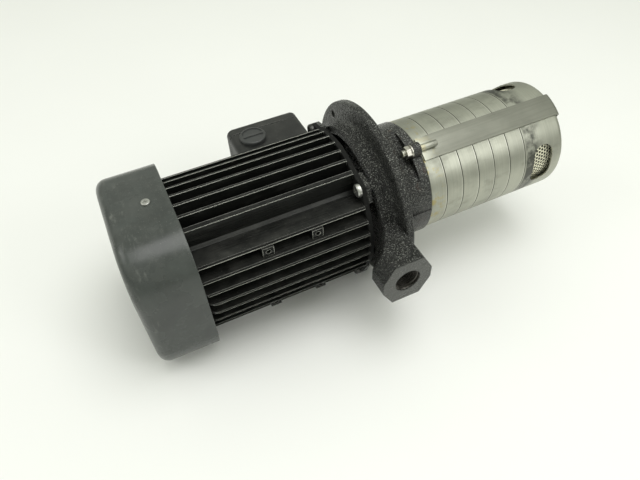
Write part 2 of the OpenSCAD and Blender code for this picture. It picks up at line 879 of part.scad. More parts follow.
module box_shell(y, l, wall) {
    translate([box_x + box_l / 2, y + l, 0])
        rotate([90, 0, 0])
            linear_extrude(height = l)
                rounded_square(box_l - 2 * wall, box_h - 2 * wall, box_corner_r - wall);
}

seam_y = box_reach - lid_t;
gasket_t = 1.2;
gasket_in = 0.6;
base_top = seam_y - gasket_t;
lid_screw_r = 2;
lid_screw_head_r = 3.6;
lid_screw_l = 22;
lid_post_r = 4.2;
lid_post_in = 8;

// Does its child at each corner post of the box, looking towards the lid
module at_box_corners(y) {
    for (sx = [-1, 1], sz = [-1, 1])
        translate([box_x + box_l / 2 + sx * (box_l / 2 - lid_post_in), y, sz * (box_h / 2 - lid_post_in)])
            rotate([-90, 0, 0])
                children();
}

plug_in = 21;
plug_up = 3.8;
plug_x = box_x + plug_in;
plug_y = (box_foot + base_top) / 2 + plug_up;
plug_shank_r = 8;

module terminal_box_base() {
    inner_foot = stool_r + run_gap;
    color([0.19, 0.2, 0.21]) rest() difference() {
        union() {
            difference() {
                box_shell(box_foot, base_top - box_foot, 0);
                box_shell(inner_foot + box_wall, base_top, box_wall);
                intersection() {
                    box_shell(board_y, base_top, box_wall);
                    translate([box_x, 0, -box_h])
                        cube([shield_x - box_wall - box_x - over, box_reach, 2 * box_h]);
                }
            }
            intersection() {
                box_shell(box_foot, base_top - box_foot, 0);
                at_box_corners(box_foot) cylinder(h = base_top - box_foot, r = lid_post_r);
            }
        }
        bar(shield_x - run_gap, flange_r, inner_foot);
        translate([box_x + box_l / 2, box_reach, 0])
            rotate([90, 0, 0])
                cylinder(h = box_reach, r = duct_r);
        at_box_corners(base_top - lid_screw_l / 2) cylinder(h = lid_screw_l, r = lid_screw_r + fit);
        for (mz = [0, 1])
            mirror([0, 0, mz])
                translate([plug_x, plug_y, box_h / 2 - box_wall - over])
                    cylinder(h = box_wall + 2 * over, r = plug_shank_r + fit);
    }
}

module terminal_box_gasket() {
    color([0.08, 0.08, 0.08]) rest() difference() {
        box_shell(base_top, gasket_t, gasket_in);
        box_shell(base_top - over, gasket_t + 2 * over, box_wall);
        at_box_corners(base_top - over) cylinder(h = gasket_t + 2 * over, r = lid_post_r);
    }
}

module terminal_box_lid() {
    color([0.2, 0.21, 0.22]) rest() difference() {
        union() {
            box_shell(seam_y, lid_t - lid_edge, 0);
            lid_crown();
        }
        difference() {
            box_shell(seam_y - over, lid_t - box_wall + over, box_wall);
            at_box_corners(seam_y - 2 * over) cylinder(h = lid_t, r = lid_post_r);
        }
        at_box_corners(seam_y - over) cylinder(h = lid_t + 2 * over, r = lid_screw_r + fit);
        at_box_corners(box_reach - box_wall) cylinder(h = lid_t, r = lid_screw_head_r + fit);
    }
}

lid_edge = 2.5;
lid_steps = 4;
// The rounded outer edge of the lid, built up in thin layers
module lid_crown() {
    for (i = [0:lid_steps - 1]) {
        a0 = i * 90 / lid_steps;
        a1 = (i + 1) * 90 / lid_steps;
        box_shell(box_reach - lid_edge + lid_edge * sin(a0) - fit, lid_edge * (sin(a1) - sin(a0)) + fit,
            lid_edge * (1 - cos((a0 + a1) / 2)));
    }
}

module terminal_box_screws() {
    color([0.62, 0.62, 0.6]) rest()
        at_box_corners(base_top - lid_screw_l / 2 + over) {
            cylinder(h = box_reach - box_wall - base_top + lid_screw_l / 2 - over, r = lid_screw_r);
            translate([0, 0, box_reach - box_wall - base_top + lid_screw_l / 2 - over])
                pan_head(lid_screw_head_r, box_wall);
        }
}

board_y = box_foot + box_wall;
board_w = 14;
board_h = 40;
board_t = 7;
terminal_r = 2;
terminal_l = 12;
terminal_pitch = 12;

module terminal_board() {
    board_x = box_x + box_l / 2 + duct_r + over;
    color([0.55, 0.3, 0.12]) rest() {
        translate([board_x, board_y, -board_h / 2])
            cube([board_w, board_t, board_h]);
        for (i = [-1:1], sx = [1, 3])
            translate([board_x + sx * board_w / 4, board_y + board_t, i * terminal_pitch])
                rotate([-90, 0, 0])
                    cylinder(h = terminal_l, r = terminal_r);
    }
}

module blanking_plugs() {
    rib = plug_r / 5;
    color([0.16, 0.17, 0.18]) rest()
        for (mz = [0, 1])
            mirror([0, 0, mz]) translate([plug_x, plug_y, box_h / 2]) {
                translate([0, 0, -box_wall - plug_h]) cylinder(h = box_wall + plug_h, r = plug_shank_r);
                difference() {
                    rotate_extrude() polygon(concat(
                        [[0, 0], [plug_r, 0]],
                        arc(plug_r - plug_h / 2, plug_h / 2, plug_h / 2, 0, 90, 5),
                        [[0, plug_h]]));
                    translate([0, 0, plug_h * 3 / 4])
                        difference() {
                            cylinder(h = plug_h, r = plug_r - rib);
                            translate([-plug_r, -rib / 2, -over])
                                cube([2 * plug_r, rib, plug_h + 2 * over]);
                        }
                }
            }
}

// Pump head

bulkhead_t = 6;
shaft_room = 2;
seal_bore_r = 13;
register_l = 4;
register_step = 1;
register_r = chamber_r - chamber_wall - register_step;
neck_rim_l = 7;
cavity_l = neck_l - neck_rim_l;
stool_fillet = 6;
neck_fillet = 5;
// Cast channel from the port down to the wet space
channel_x = stool_x + window_l;
channel_w = 41;
channel_in = 16;
root_out = 2;
port_x = -port_cut_w / 2;
port_hex_l = 19;
throat_r = 9;
throat_l = 11;
way_x = channel_x / 2;
way_t = 13;
way_w = 18;
turn_y = 33;
pocket_floor = 49;
ear_l = 10;
pocket_back = neck_l - ear_l;
pocket_l = 10;
pocket_span = 56;
pocket_slope = 5;
stud_place = strap_r + stud_r - 2 * fit;
ear_r = 6.5;
stud_reach = 9.4;
stud_tip_x = pocket_back - stud_reach;
parting_step = 0.6;
parting_z = 4;
parting_x = 13;

// Half section of the casting's turned body
function head_profile() = concat(
    [[0, stool_x], [stool_r, stool_x]],
    arc(stool_r + stool_fillet, -flange_t - stool_fillet, stool_fillet, 180, 90, 6),
    arc(flange_r - rim_r, rim_r - flange_t, rim_r, -90, 0, 5),
    arc(flange_r - rim_r, -rim_r, rim_r, 0, 90, 5),
    arc(neck_r + neck_fillet, neck_fillet, neck_fillet, 270, 180, 6),
    [[neck_r, neck_l - rim_r / 2], [neck_r - rim_r / 2, neck_l], [0, neck_l]]);

module pump_head() {
    color([0.13, 0.13, 0.13]) rest() difference() {
        union() {
            difference() {
                along(0) rotate_extrude() polygon(head_profile());
                stool_hollow();
            }
            stool_ears();
            head_channel();
            port_boss();
            for (s = [0, 180]) strap_ear(s);
            parting_line();
        }
        bar(0, cavity_l, cavity_r);
        bar(cavity_l - over, neck_l - cavity_l + 2 * over, cavity_r + hub_lip);
        bar(neck_l - register_l - o_ring_r, register_l + o_ring_r + over, register_r + fit);
        bar(-bulkhead_t, bulkhead_t + over, seal_bore_r);
        bar(-flange_t - bulkhead_t, flange_t + bulkhead_t, stub_r + shaft_room);
        for (a = [45:90:315])
            offset_bar(-flange_t - over, flange_t + 2 * over, bolt_hole_r, bolt_circle_r, a);
        for (a = ear_angles)
            offset_bar(stool_x - over, stool_ear_t + 2 * over, stool_screw_r + fit, stool_screw_circle, a);
        for (s = [0, 180]) strap_pocket(s);
        port_ways();
    }
}

// The hollow of the stool and its four side windows
module stool_hollow() {
    tube_in = stool_r - stool_wall;
    bar(stool_x - over, stool_l + over - neck_fillet / 2, tube_in);
    difference() {
        tube(stool_x - over, window_l + over, stool_r + over, tube_in - over);
        for (a = ear_angles)
            along(stool_x - 2 * over)
                rotate([0, 0, a])
                    translate([tube_in - 2 * over, -post_w / 2, 0])
                        cube([stool_wall + 4 * over, post_w, window_l + 4 * over]);
    }
}

// Ears on the posts of the stool, behind those of the end shield
module stool_ears() {
    along(stool_x) linear_extrude(height = stool_ear_t) difference() {
        intersection() {
            union() {
                for (a = ear_angles) ear(a);
            }
            union() {
                for (a = ear_angles)
                    rotate([0, 0, a])
                        translate([stool_screw_circle, 0])
                            circle(r = stool_ear_reach);
            }
        }
        circle(r = stool_r - stool_wall);
    }
}

// The cast channel that leads from the wet space to the port
module head_channel() {
    reach = stool_r + stool_fillet;
    translate([channel_x, -reach, -channel_w / 2])
        cube([-flange_t / 2 - channel_x, reach - channel_in, channel_w]);
}

// A hexagon with two of its corners cut off
module port_outline() {
    intersection() {
        circle(r = port_flat / cos(30), $fn = 6);
        square([port_cut_w, 2 * port_flat + over], center = true);
    }
}

// The boss of the port, and the taper that joins it to the channel
module port_boss() {
    translate([port_x, -port_reach, 0])
        rotate([-90, 0, 0])
            linear_extrude(height = port_hex_l)
                port_outline();
    hull() {
        translate([port_x, over - port_reach + port_hex_l, 0])
            rotate([90, 0, 0])
                linear_extrude(height = over)
                    port_outline();
        translate([channel_x, -stool_r - root_out - over, -channel_w / 2])
            cube([-flange_t - channel_x, over, channel_w]);
    }
}

// Threaded mouth, round throat, and the oblong way down into the wet space
module port_ways() {
    bend_out_y = port_reach - port_thread_l - throat_l / 2;
    bend = atan2(way_x - port_x, bend_out_y - stool_r);
    translate([port_x, port_thread_l - port_reach, 0])
        rotate([90, 0, 0])
            cylinder(h = port_thread_l + over, r = port_bore_r);
    translate([port_x, port_thread_l + throat_l - port_reach, 0])
        rotate([90, 0, 0])
            cylinder(h = throat_l + over, r = throat_r);
    translate([way_x, -stool_r, 0])
        rotate([90, 0, -bend])
            linear_extrude(height = norm([way_x - port_x, bend_out_y - stool_r]))
                way_outline();
    translate([way_x, way_t / 2 - turn_y, 0])
        rotate([90, 0, 0])
            linear_extrude(height = stool_r - turn_y + way_t / 2)
                way_outline();
    along(way_x)
        translate([-turn_y, 0, 0])
            linear_extrude(height = over - way_x)
                way_outline();
}

module way_outline() {
    rounded_square(way_t, way_w, way_t / 2 - over);
}

// The wedge-shaped pocket for a strap's nut
module strap_pocket(s) {
    top = strap_r + 4 * stud_r;
    along(0)
        rotate([0, 0, 180 - strap_angle + s])
            rotate([90, 0, 0])
                translate([0, 0, -pocket_span / 2])
                    linear_extrude(height = pocket_span)
                        polygon([[pocket_floor, pocket_back], [top, pocket_back],
                            [top, pocket_back - pocket_l - pocket_slope],
                            [pocket_floor, pocket_back - pocket_slope]]);
    offset_bar(pocket_back - over, neck_l - pocket_back + 2 * over, stud_r + fit, stud_place,
        180 - strap_angle + s);
}

// The ear in the end rim that a stud passes through
module strap_ear(s) {
    offset_bar(pocket_back, neck_l - pocket_back - rim_r, ear_r, stud_place, 180 - strap_angle + s);
    along(pocket_back)
        rotate([0, 0, 180 - strap_angle + s])
            translate([neck_r - 2 * rim_r, -ear_r, 0])
                cube([stud_place - neck_r + 2 * rim_r, 2 * ear_r, neck_l - pocket_back - rim_r]);
}

// The lower half of the neck stands out a little at the mould's parting line
module parting_line() {
    intersection() {
        bar(parting_x, neck_l - parting_x - rim_r / 2, neck_r + parting_step);
        translate([0, -flange_r, parting_z - flange_r])
            cube([neck_l, 2 * flange_r, flange_r]);
    }
}

// Shaft seal

seal_seat_fit = 0.1;
seal_seat_r = seal_bore_r - seal_seat_fit;
seal_face_x = 1.5;

module seal_seat() {
    color([0.85, 0.84, 0.8]) rest()
        tube(-bulkhead_t, bulkhead_t + seal_face_x, seal_seat_r, stub_r + run_gap);
}

seal_rotor_l = 26;
seal_rotor_r = 12;
seal_sleeve_r = 8.5;
seal_collar_l = 3.5;
seal_turns = 4;
seal_turn_pitch = 3;
seal_wire_r = 1.1;

module seal_rotor() {
    head_l = seal_rotor_l / 3;
    color([0.3, 0.3, 0.32]) rest() {
        tube(seal_face_x, head_l, seal_rotor_r, stub_r + fit);
        tube(seal_face_x + head_l - over, seal_rotor_l - head_l, seal_sleeve_r, stub_r + fit);
        tube(seal_face_x + seal_rotor_l - seal_collar_l - over, seal_collar_l, seal_rotor_r, stub_r + fit);
        for (i = [0:seal_turns - 1])
            along(seal_face_x + head_l + seal_wire_r + seal_turn_pitch * i)
                rotate_extrude()
                    translate([seal_sleeve_r + seal_wire_r - fit, 0]) circle(r = seal_wire_r, $fn = 16);
    }
}

o_ring_r = 1.2;

module head_o_ring() {
    color([0.06, 0.06, 0.06]) rest()
        along(neck_l - register_l - o_ring_r)
            tube_ring(register_r, register_r - 2 * o_ring_r, o_ring_r);
}

module tube_ring(r_out, r_in, l) {
    difference() {
        cylinder(h = l, r = r_out);
        translate([0, 0, -over]) cylinder(h = l + 2 * over, r = r_in);
    }
}

// Stainless stages

plate_t = 1.2;
ring_wall = 1.4;
ring_l = 3.4;
vane_h = 4;
guide_vanes = 8;
vane_in = 3;
vane_out = 2;
seam = 0.45;

function plate_x(k) = stack_x + (k - 2) * chamber_pitch;
function hub_x(k) = plate_x(k) + plate_t + vane_h + run_gap;

// Wall of a chamber with a fine groove where it meets the next one
module chamber_wall_tube(x, l) {
    along(x) rotate_extrude() polygon([
        [chamber_r - chamber_wall, 0], [chamber_r - seam, 0], [chamber_r, seam],
        [chamber_r, l - seam], [chamber_r - seam, l], [chamber_r - chamber_wall, l]]);
}

module chamber(k) {
    x0 = k == 1 ? neck_l : plate_x(k);
    color([0.72, 0.71, 0.67]) rest() {
        chamber_wall_tube(x0, plate_x(k + 1) - x0);
        if (k == 1) tube(neck_l - register_l, register_l + plate_t, register_r, register_r - chamber_wall);
        tube(max(plate_x(k), x0), plate_t, chamber_r - chamber_wall / 2, eye_r + run_gap + ring_wall);
        for (i = [0:guide_vanes - 1])
            along(max(plate_x(k), x0) + plate_t / 2)
                rotate([0, 0, i * 360 / guide_vanes])
                    linear_extrude(height = vane_h + plate_t / 2 - max(0, x0 - plate_x(k)))
                        curved_blade(eye_r + ring_wall + vane_in, chamber_r - chamber_wall - vane_out,
                            chamber_r / 2, plate_t);
    }
}

// A blade that is part of a circle, from one radius to another
module curved_blade(r_in, r_out, bend, t) {
    intersection() {
        difference() {
            circle(r = r_out);
            circle(r = r_in);
        }
        translate([bend / 2, bend])
            difference() {
                circle(r = bend + t / 2);
                circle(r = bend - t / 2);
            }
        translate([0, -r_out]) square([r_out, r_out + bend / 2]);
    }
}

module chamber_1() { chamber(1); }
module chamber_2() { chamber(2); }
module chamber_3() { chamber(3); }
module chamber_4() { chamber(4); }
module chamber_5() { chamber(5); }
module chamber_6() { chamber(6); }

module neck_rings() {
    color([0.25, 0.25, 0.24]) rest()
        for (k = [2:chambers + 1])
            tube(plate_x(k) + plate_t - ring_l, ring_l, eye_r + run_gap + ring_wall - fit, eye_r + run_gap);
}

shroud_t = 1.2;
hub_r = 9;
hub_end_gap = 1;
hub_l = chamber_pitch - plate_t - vane_h - run_gap - shroud_t - hub_end_gap;
passage_l = 5.4;

module impeller(k) {
    x = hub_x(k);
    eye_l = plate_x(k + 1) - x - 2 * shroud_t - passage_l + plate_t / 2;
    color([0.74, 0.73, 0.7]) rest() {
        tube(x, hub_l, hub_r, pump_shaft_r + fit);
        tube(x, shroud_t, impeller_r, pump_shaft_r + fit);
        tube(x + shroud_t + passage_l, shroud_t, impeller_r, eye_r - shroud_t);
        tube(x + 2 * shroud_t + passage_l - shroud_t / 2, eye_l, eye_r, eye_r - shroud_t);
        for (i = [0:impeller_blades - 1])
            along(x + shroud_t / 2)
                rotate([0, 0, i * 360 / impeller_blades])
                    linear_extrude(height = passage_l + shroud_t)
                        curved_blade(hub_r + vane_in, impeller_r - shroud_t / 2, impeller_r / 2, shroud_t);
    }
}

module impeller_1() { impeller(1); }
module impeller_2() { impeller(2); }
module impeller_3() { impeller(3); }
module impeller_4() { impeller(4); }
module impeller_5() { impeller(5); }
module impeller_6() { impeller(6); }

module impeller_spacers() {
    color([0.7, 0.69, 0.66]) rest() {
        tube(seal_face_x + seal_rotor_l, hub_x(1) - seal_face_x - seal_rotor_l, hub_r - fit,
            pump_shaft_r + fit);
        for (k = [1:chambers - 1])
            tube(hub_x(k) + hub_l, chamber_pitch - hub_l, hub_r - fit, pump_shaft_r + fit);
    }
}

nut_x = hub_x(chambers) + hub_l;
nut_l = 8;
nut_r = 10;

module impeller_nut() {
    color([0.7, 0.7, 0.68]) rest() along(nut_x) difference() {
        union() {
            cylinder(h = nut_l / 4, r = nut_r);
            cylinder(h = nut_l, r = nut_r, $fn = 6);
        }
        translate([0, 0, -over]) cylinder(h = nut_l + 2 * over, r = pump_shaft_r + fit);
    }
}

bush_l = 14;
bush_r = 9;
bush_boss_r = 13;
bush_back = 6;
bush_x = end_x - bush_back - bush_l;

module pump_shaft() {
    color([0.64, 0.65, 0.66]) rest()
        bar(joint_x + run_gap, bush_x + bush_l - joint_x - run_gap, pump_shaft_r);
}

module bottom_bush() {
    color([0.3, 0.3, 0.31]) rest() tube(bush_x, bush_l, bush_r, pump_shaft_r + 2 * fit);
}

module suction_casing() {
    inner_edge = suction_edge_r - chamber_wall;
    color([0.72, 0.71, 0.67]) rest() {
        difference() {
            along(suction_x) rotate_extrude() polygon(concat(
                [[chamber_r - seam, 0], [chamber_r, seam]],
                arc(chamber_r - suction_edge_r, suction_l - suction_edge_r, suction_edge_r, 0, 90, 6),
                [[0, suction_l], [0, suction_l - chamber_wall]],
                arc(chamber_r - suction_edge_r, suction_l - suction_edge_r, inner_edge, 90, 0, 6),
                [[chamber_r - chamber_wall, 0]]));
            for (s = [0, 180], side = [-1, 1]) inlet_cut(180 - strap_angle + s + side * inlet_angle);
        }
        tube(suction_x, plate_t, chamber_r - chamber_wall / 2, eye_r + run_gap + ring_wall);
        difference() {
            bar(bush_x, end_x - bush_x - chamber_wall / 2, bush_boss_r);
            bar(bush_x - over, bush_l + 2 * over, bush_r + fit);
        }
    }
}

inlet_mid = 22.3;
inlet_x = suction_x + inlet_mid;

// A suction window: an oblong hole with round ends that looks away from the shaft
module inlet_cut(angle) {
    half_w = chamber_r * sin(inlet_span / 2);
    along(inlet_x)
        rotate([0, 0, angle])
            rotate([0, 90, 0])
                translate([0, 0, chamber_r / 2])
                    linear_extrude(height = chamber_r)
                        rounded_square(inlet_l, 2 * half_w, inlet_l / 2 - over);
}

strainer_t = 0.8;
strainer_rows = 4;
strainer_columns = 9;

module strainer() {
    x0 = suction_x + plate_t;
    l = end_x - chamber_wall - x0 - run_gap;
    color([0.62, 0.6, 0.5]) rest() difference() {
        tube(x0, l, strainer_r, strainer_r - strainer_t);
        for (s = [0, 180], side = [-1, 1]) strainer_holes(180 - strap_angle + s + side * inlet_angle);
    }
}

// Staggered rows of small holes behind one suction window
module strainer_holes(angle) {
    step = strainer_pitch / strainer_r * 180 / PI;
    for (i = [0:strainer_rows - 1], j = [0:strainer_columns - 1 - i % 2])
        along(inlet_x + (i - (strainer_rows - 1) / 2) * strainer_pitch)
            rotate([0, 0, angle + (j - (strainer_columns - 1 - i % 2) / 2) * step])
                translate([strainer_r - strainer_t - over, 0, 0])
                    rotate([0, 90, 0])
                        cylinder(h = strainer_t + 2 * over, r = strainer_hole_r, $fn = 8);
}

// Straps

strap_hook = 12;
strap_gap = 1;
strap_start = neck_l + strap_gap;
stud_weld = 16;

module strap(s) {
    r_in = strap_r - strap_t;
    color([0.7, 0.69, 0.66]) rest() {
        intersection() {
            along(strap_start) rotate_extrude() polygon(concat(
                [[strap_r, 0]],
                arc(strap_r - fold_r, strap_end_x - strap_start - fold_r, fold_r, 0, 90, 6),
                [[strap_r - strap_hook, strap_end_x - strap_start],
                    [strap_r - strap_hook, end_x + fit - strap_start]],
                arc(r_in - fold_r + strap_t, end_x + fit - strap_start - fold_r + strap_t,
                    fold_r - strap_t, 90, 0, 6),
                [[r_in, 0]]));
            along(strap_start - over)
                rotate([0, 0, 180 - strap_angle + s])
                    translate([0, -strap_w / 2, 0])
                        cube([2 * strap_r, strap_w, strap_end_x]);
        }
        offset_bar(stud_tip_x, strap_start + stud_weld - stud_tip_x, stud_r, stud_place,
            180 - strap_angle + s);
    }
}

module strap_upper() { strap(0); }
module strap_lower() { strap(180); }

strap_nut_r = 5.77;
strap_nut_l = 5;
washer_r = 6.2;
washer_t = 1.2;

module strap_nuts() {
    color([0.75, 0.74, 0.7]) rest()
        for (s = [0, 180])
            along(pocket_back - washer_t - strap_nut_l)
                rotate([0, 0, 180 - strap_angle + s])
                    translate([stud_place, 0, 0])
                        difference() {
                            cylinder(h = strap_nut_l, r = strap_nut_r, $fn = 6);
                            translate([0, 0, -over]) cylinder(h = strap_nut_l + 2 * over, r = stud_r + fit);
                        }
}

module strap_washers() {
    color([0.75, 0.74, 0.7]) rest()
        for (s = [0, 180])
            along(pocket_back - washer_t)
                rotate([0, 0, 180 - strap_angle + s])
                    translate([stud_place, 0, 0])
                        tube_ring(washer_r, stud_r + fit, washer_t);
}

fan_cover();
fan_cover_screws();
rear_end_shield();
end_shield_screws();
stator_housing();
foot_blocks();
stator_core();
stator_winding();
drive_end_shield();
stool_screws();
rear_bearing_outer();
drive_bearing_outer();
wave_spring();
terminal_box_base();
terminal_box_gasket();
terminal_box_lid();
terminal_box_screws();
terminal_board();
blanking_plugs();
pump_head();
seal_seat();
head_o_ring();
chamber_1();
chamber_2();
chamber_3();
chamber_4();
chamber_5();
chamber_6();
neck_rings();
suction_casing();
strainer();
strap_upper();
strap_lower();
strap_nuts();
strap_washers();
bottom_bush();
motor_shaft();
rotor();
fan();
fan_clip();
rear_bearing_inner();
drive_bearing_inner();
v_ring();
coupling();
coupling_screws();
pump_shaft();
seal_rotor();
impeller_1();
impeller_2();
impeller_3();
impeller_4();
impeller_5();
impeller_6();
impeller_spacers();
impeller_nut();
drive_bearing_balls();
drive_bearing_cage();
rear_bearing_balls();
rear_bearing_cage();
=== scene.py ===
"""Looks of a coolant pump: a finer fan cover and strainer, the screw threads, and a finish for every piece.

Pieces are drawn in shaft millimetres, along the shaft from the flange's mounting face, and laid() puts
them where the CAD model lies. Materials find the same coordinates with the node group shaft_place."""

import json
import math

import bmesh
import bpy
import numpy as np
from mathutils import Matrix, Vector


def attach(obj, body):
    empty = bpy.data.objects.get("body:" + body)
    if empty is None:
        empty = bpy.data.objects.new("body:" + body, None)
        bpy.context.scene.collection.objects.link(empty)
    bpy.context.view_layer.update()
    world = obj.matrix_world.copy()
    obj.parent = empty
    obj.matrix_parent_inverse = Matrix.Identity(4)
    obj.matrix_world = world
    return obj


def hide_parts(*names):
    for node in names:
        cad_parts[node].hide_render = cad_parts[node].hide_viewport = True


bl_info = {
    "name": "Coolant pump looks",
    "version": (1, 0, 0),
    "blender": (4, 5, 0),
    "location": "3D View > Sidebar > Pump",
    "description": "Visible surfaces and finishes of an immersible coolant pump on its packed frame",
    "category": "Object",
}

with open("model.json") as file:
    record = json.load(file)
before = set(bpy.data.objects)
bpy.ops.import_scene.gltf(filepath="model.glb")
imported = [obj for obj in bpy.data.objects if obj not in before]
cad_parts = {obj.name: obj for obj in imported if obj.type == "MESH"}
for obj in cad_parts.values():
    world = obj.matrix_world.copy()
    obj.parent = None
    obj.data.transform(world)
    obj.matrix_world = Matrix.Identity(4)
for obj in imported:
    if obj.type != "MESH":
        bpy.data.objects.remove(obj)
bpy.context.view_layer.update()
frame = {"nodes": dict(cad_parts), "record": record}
NODES = frame["nodes"]
MOUNTS = {mount["name"]: mount for mount in frame["record"]["mounts"]}
BODY = "pump_unit"

MM_PER_M = 1000
ORIGIN = np.array(MOUNTS["tank_flange"]["pos_m"], float)
AXIS = np.array(MOUNTS["tank_flange"]["axis"], float)
TILT = math.atan2(AXIS[2], AXIS[0])


def laid(points):
    """Shaft millimetres to row metres: turn by the tilt about +Y, then shift to the flange's centre."""
    p = np.asarray(points, float)
    c, s = math.cos(TILT), math.sin(TILT)
    turned = np.stack([p[..., 0] * c - p[..., 2] * s, p[..., 1], p[..., 0] * s + p[..., 2] * c], -1)
    return turned / MM_PER_M + ORIGIN


def upright(points):
    """Row metres to shaft millimetres, the inverse of laid()."""
    p = (np.asarray(points, float) - ORIGIN) * MM_PER_M
    c, s = math.cos(TILT), math.sin(TILT)
    return np.stack([p[..., 0] * c + p[..., 2] * s, p[..., 1], p[..., 2] * c - p[..., 0] * s], -1)


def shaft_points(node):
    """The corners of a node's mesh in shaft millimetres."""
    mesh = NODES[node].data
    flat = np.zeros(len(mesh.vertices) * 3, np.float32)
    mesh.vertices.foreach_get("co", flat)
    return upright(flat.reshape(-1, 3))


def shaft_box(node):
    """Lowest and highest corner of a node's mesh, in shaft millimetres."""
    p = shaft_points(node)
    return p.min(0), p.max(0)


PORT_CENTRE = upright(MOUNTS["discharge_port"]["pos_m"])
PORT_RADIUS = MOUNTS["discharge_port"]["dims"]["r_mm"]
PORT_LENGTH = MOUNTS["discharge_port"]["dims"]["length_mm"]


# Meshes

SMOOTH_ANGLE = math.radians(38.0)
MERGE_DISTANCE = 1e-7  # metres


def mesh_object(name, vertices, faces):
    """A finished object at the origin, from points in row metres and a list of faces.

    Points in the same place are merged, so seams and poles close, and all faces are turned outwards."""
    mesh = bpy.data.meshes.new(name)
    mesh.from_pydata(np.asarray(vertices).tolist(), [], [list(map(int, f)) for f in faces])
    work = bmesh.new()
    work.from_mesh(mesh)
    bmesh.ops.remove_doubles(work, verts=work.verts, dist=MERGE_DISTANCE)
    bmesh.ops.recalc_face_normals(work, faces=work.faces)
    work.to_mesh(mesh)
    work.free()
    mesh.shade_smooth()
    mesh.set_sharp_from_angle(angle=SMOOTH_ANGLE)
    piece = bpy.data.objects.new(name, mesh)
    bpy.context.scene.collection.objects.link(piece)
    return piece


def tube_faces(rows, columns, keep=None):
    """Corner numbers of the quads between rings of points; keep is a mask of the quads that stay."""
    i, j = np.meshgrid(np.arange(rows - 1), np.arange(columns), indexing="ij")
    here, beyond, after = i * columns, (i + 1) * columns, (j + 1) % columns
    quads = np.stack([here + j, here + after, beyond + after, beyond + j], -1).reshape(-1, 4)
    return quads if keep is None else quads[keep.reshape(-1)]


def rounded_square_radius(angle, half, corner):
    """Distance from the centre to a square of that half width with round corners, at each angle.

    On a side it is half over the cosine of the angle from the side's middle. Past the side's straight
    part it is the far crossing with the corner's circle, whose centre is at (half - corner) both ways."""
    fold = np.abs((np.asarray(angle) + math.pi / 4) % (math.pi / 2) - math.pi / 4)
    k = half - corner
    side = half / np.cos(fold)
    total = np.cos(fold) + np.sin(fold)
    arc = k * total + np.sqrt(np.maximum(corner**2 - k**2 * (2 - total**2), 0))
    return np.where(half * np.tan(fold) <= k, side, arc)


COVER_COLUMNS = 288
COVER_RIM = ((0.5, 0.0), (0.12, 0.2), (0.0, 0.6))  # inset and distance from the open end, in mm
COVER_SLOTS = ((48.6, 45.0), (38.6, 35.0), (28.6, 25.0), (18.6, 15.0))  # outer and inner radii, in mm
COVER_BACK_OUTSIDE, COVER_BACK_INSIDE = (50.5,), (8.0, 0.0)  # radii of the plain rings round the slots
COVER_SPOKES, SPOKE_HALF_WIDTH = 8, 3.0
SIDE_START, SIDE_RINGS, EDGE_RINGS = 3.0, 6, 8  # mm from the open end, and rings of points


def cover_shell(back, rim, half, corner, edge):
    """The outer skin of the fan cover as points and faces, all sizes in shaft millimetres.

    A point is at (place along the shaft, r cos a, r sin a) for an angle a. Down the sides r is the
    rounded square's radius. At the back edge the square shrinks by edge (1 - cos t) while the place goes
    to edge (1 - sin t) from the back, for t up to a quarter turn. The back is flat rings down to its
    centre, open between a slot's two radii except within half a spoke's width of each spoke."""
    angle = np.arange(COVER_COLUMNS) * 2 * math.pi / COVER_COLUMNS
    turn = np.linspace(0, math.pi / 2, EDGE_RINGS + 1)[1:]
    rim_inset, rim_drop = np.transpose(COVER_RIM)
    sides = np.linspace(rim - SIDE_START, back + edge, SIDE_RINGS)
    inset = np.concatenate([rim_inset, np.zeros(SIDE_RINGS), edge * (1 - np.cos(turn))])
    along = np.concatenate([rim - rim_drop, sides, back + edge * (1 - np.sin(turn))])
    shell = np.stack([rounded_square_radius(angle, half - d, max(corner - d, 1)) for d in inset])

    rings = np.concatenate([COVER_BACK_OUTSIDE, np.ravel(COVER_SLOTS), COVER_BACK_INSIDE])
    shell = np.concatenate([shell, np.repeat(rings[:, None], COVER_COLUMNS, 1)])
    along = np.concatenate([along, np.full(len(rings), back)])
    points = np.stack(
        [np.repeat(along[:, None], COVER_COLUMNS, 1), shell * np.cos(angle), shell * np.sin(angle)], -1
    )

    keep = np.ones((len(along) - 1, COVER_COLUMNS), bool)
    sector = 2 * math.pi / COVER_SPOKES
    middle = (angle + math.pi / COVER_COLUMNS) % sector
    off = np.minimum(middle, sector - middle)
    first = len(inset) + len(COVER_BACK_OUTSIDE)
    for k, (outer, _) in enumerate(COVER_SLOTS):
        keep[first + 2 * k] = off <= math.asin(SPOKE_HALF_WIDTH / outer)
    return points.reshape(-1, 3), tube_faces(len(along), COVER_COLUMNS, keep)


THREAD_STEPS = 48  # sections in a turn
THREAD_FADE = 0.02  # share of the ridge's height that is left at its ends
THREAD_FOOT, THREAD_CREST = 0.48, 0.0768  # half widths of the ridge, in pitches


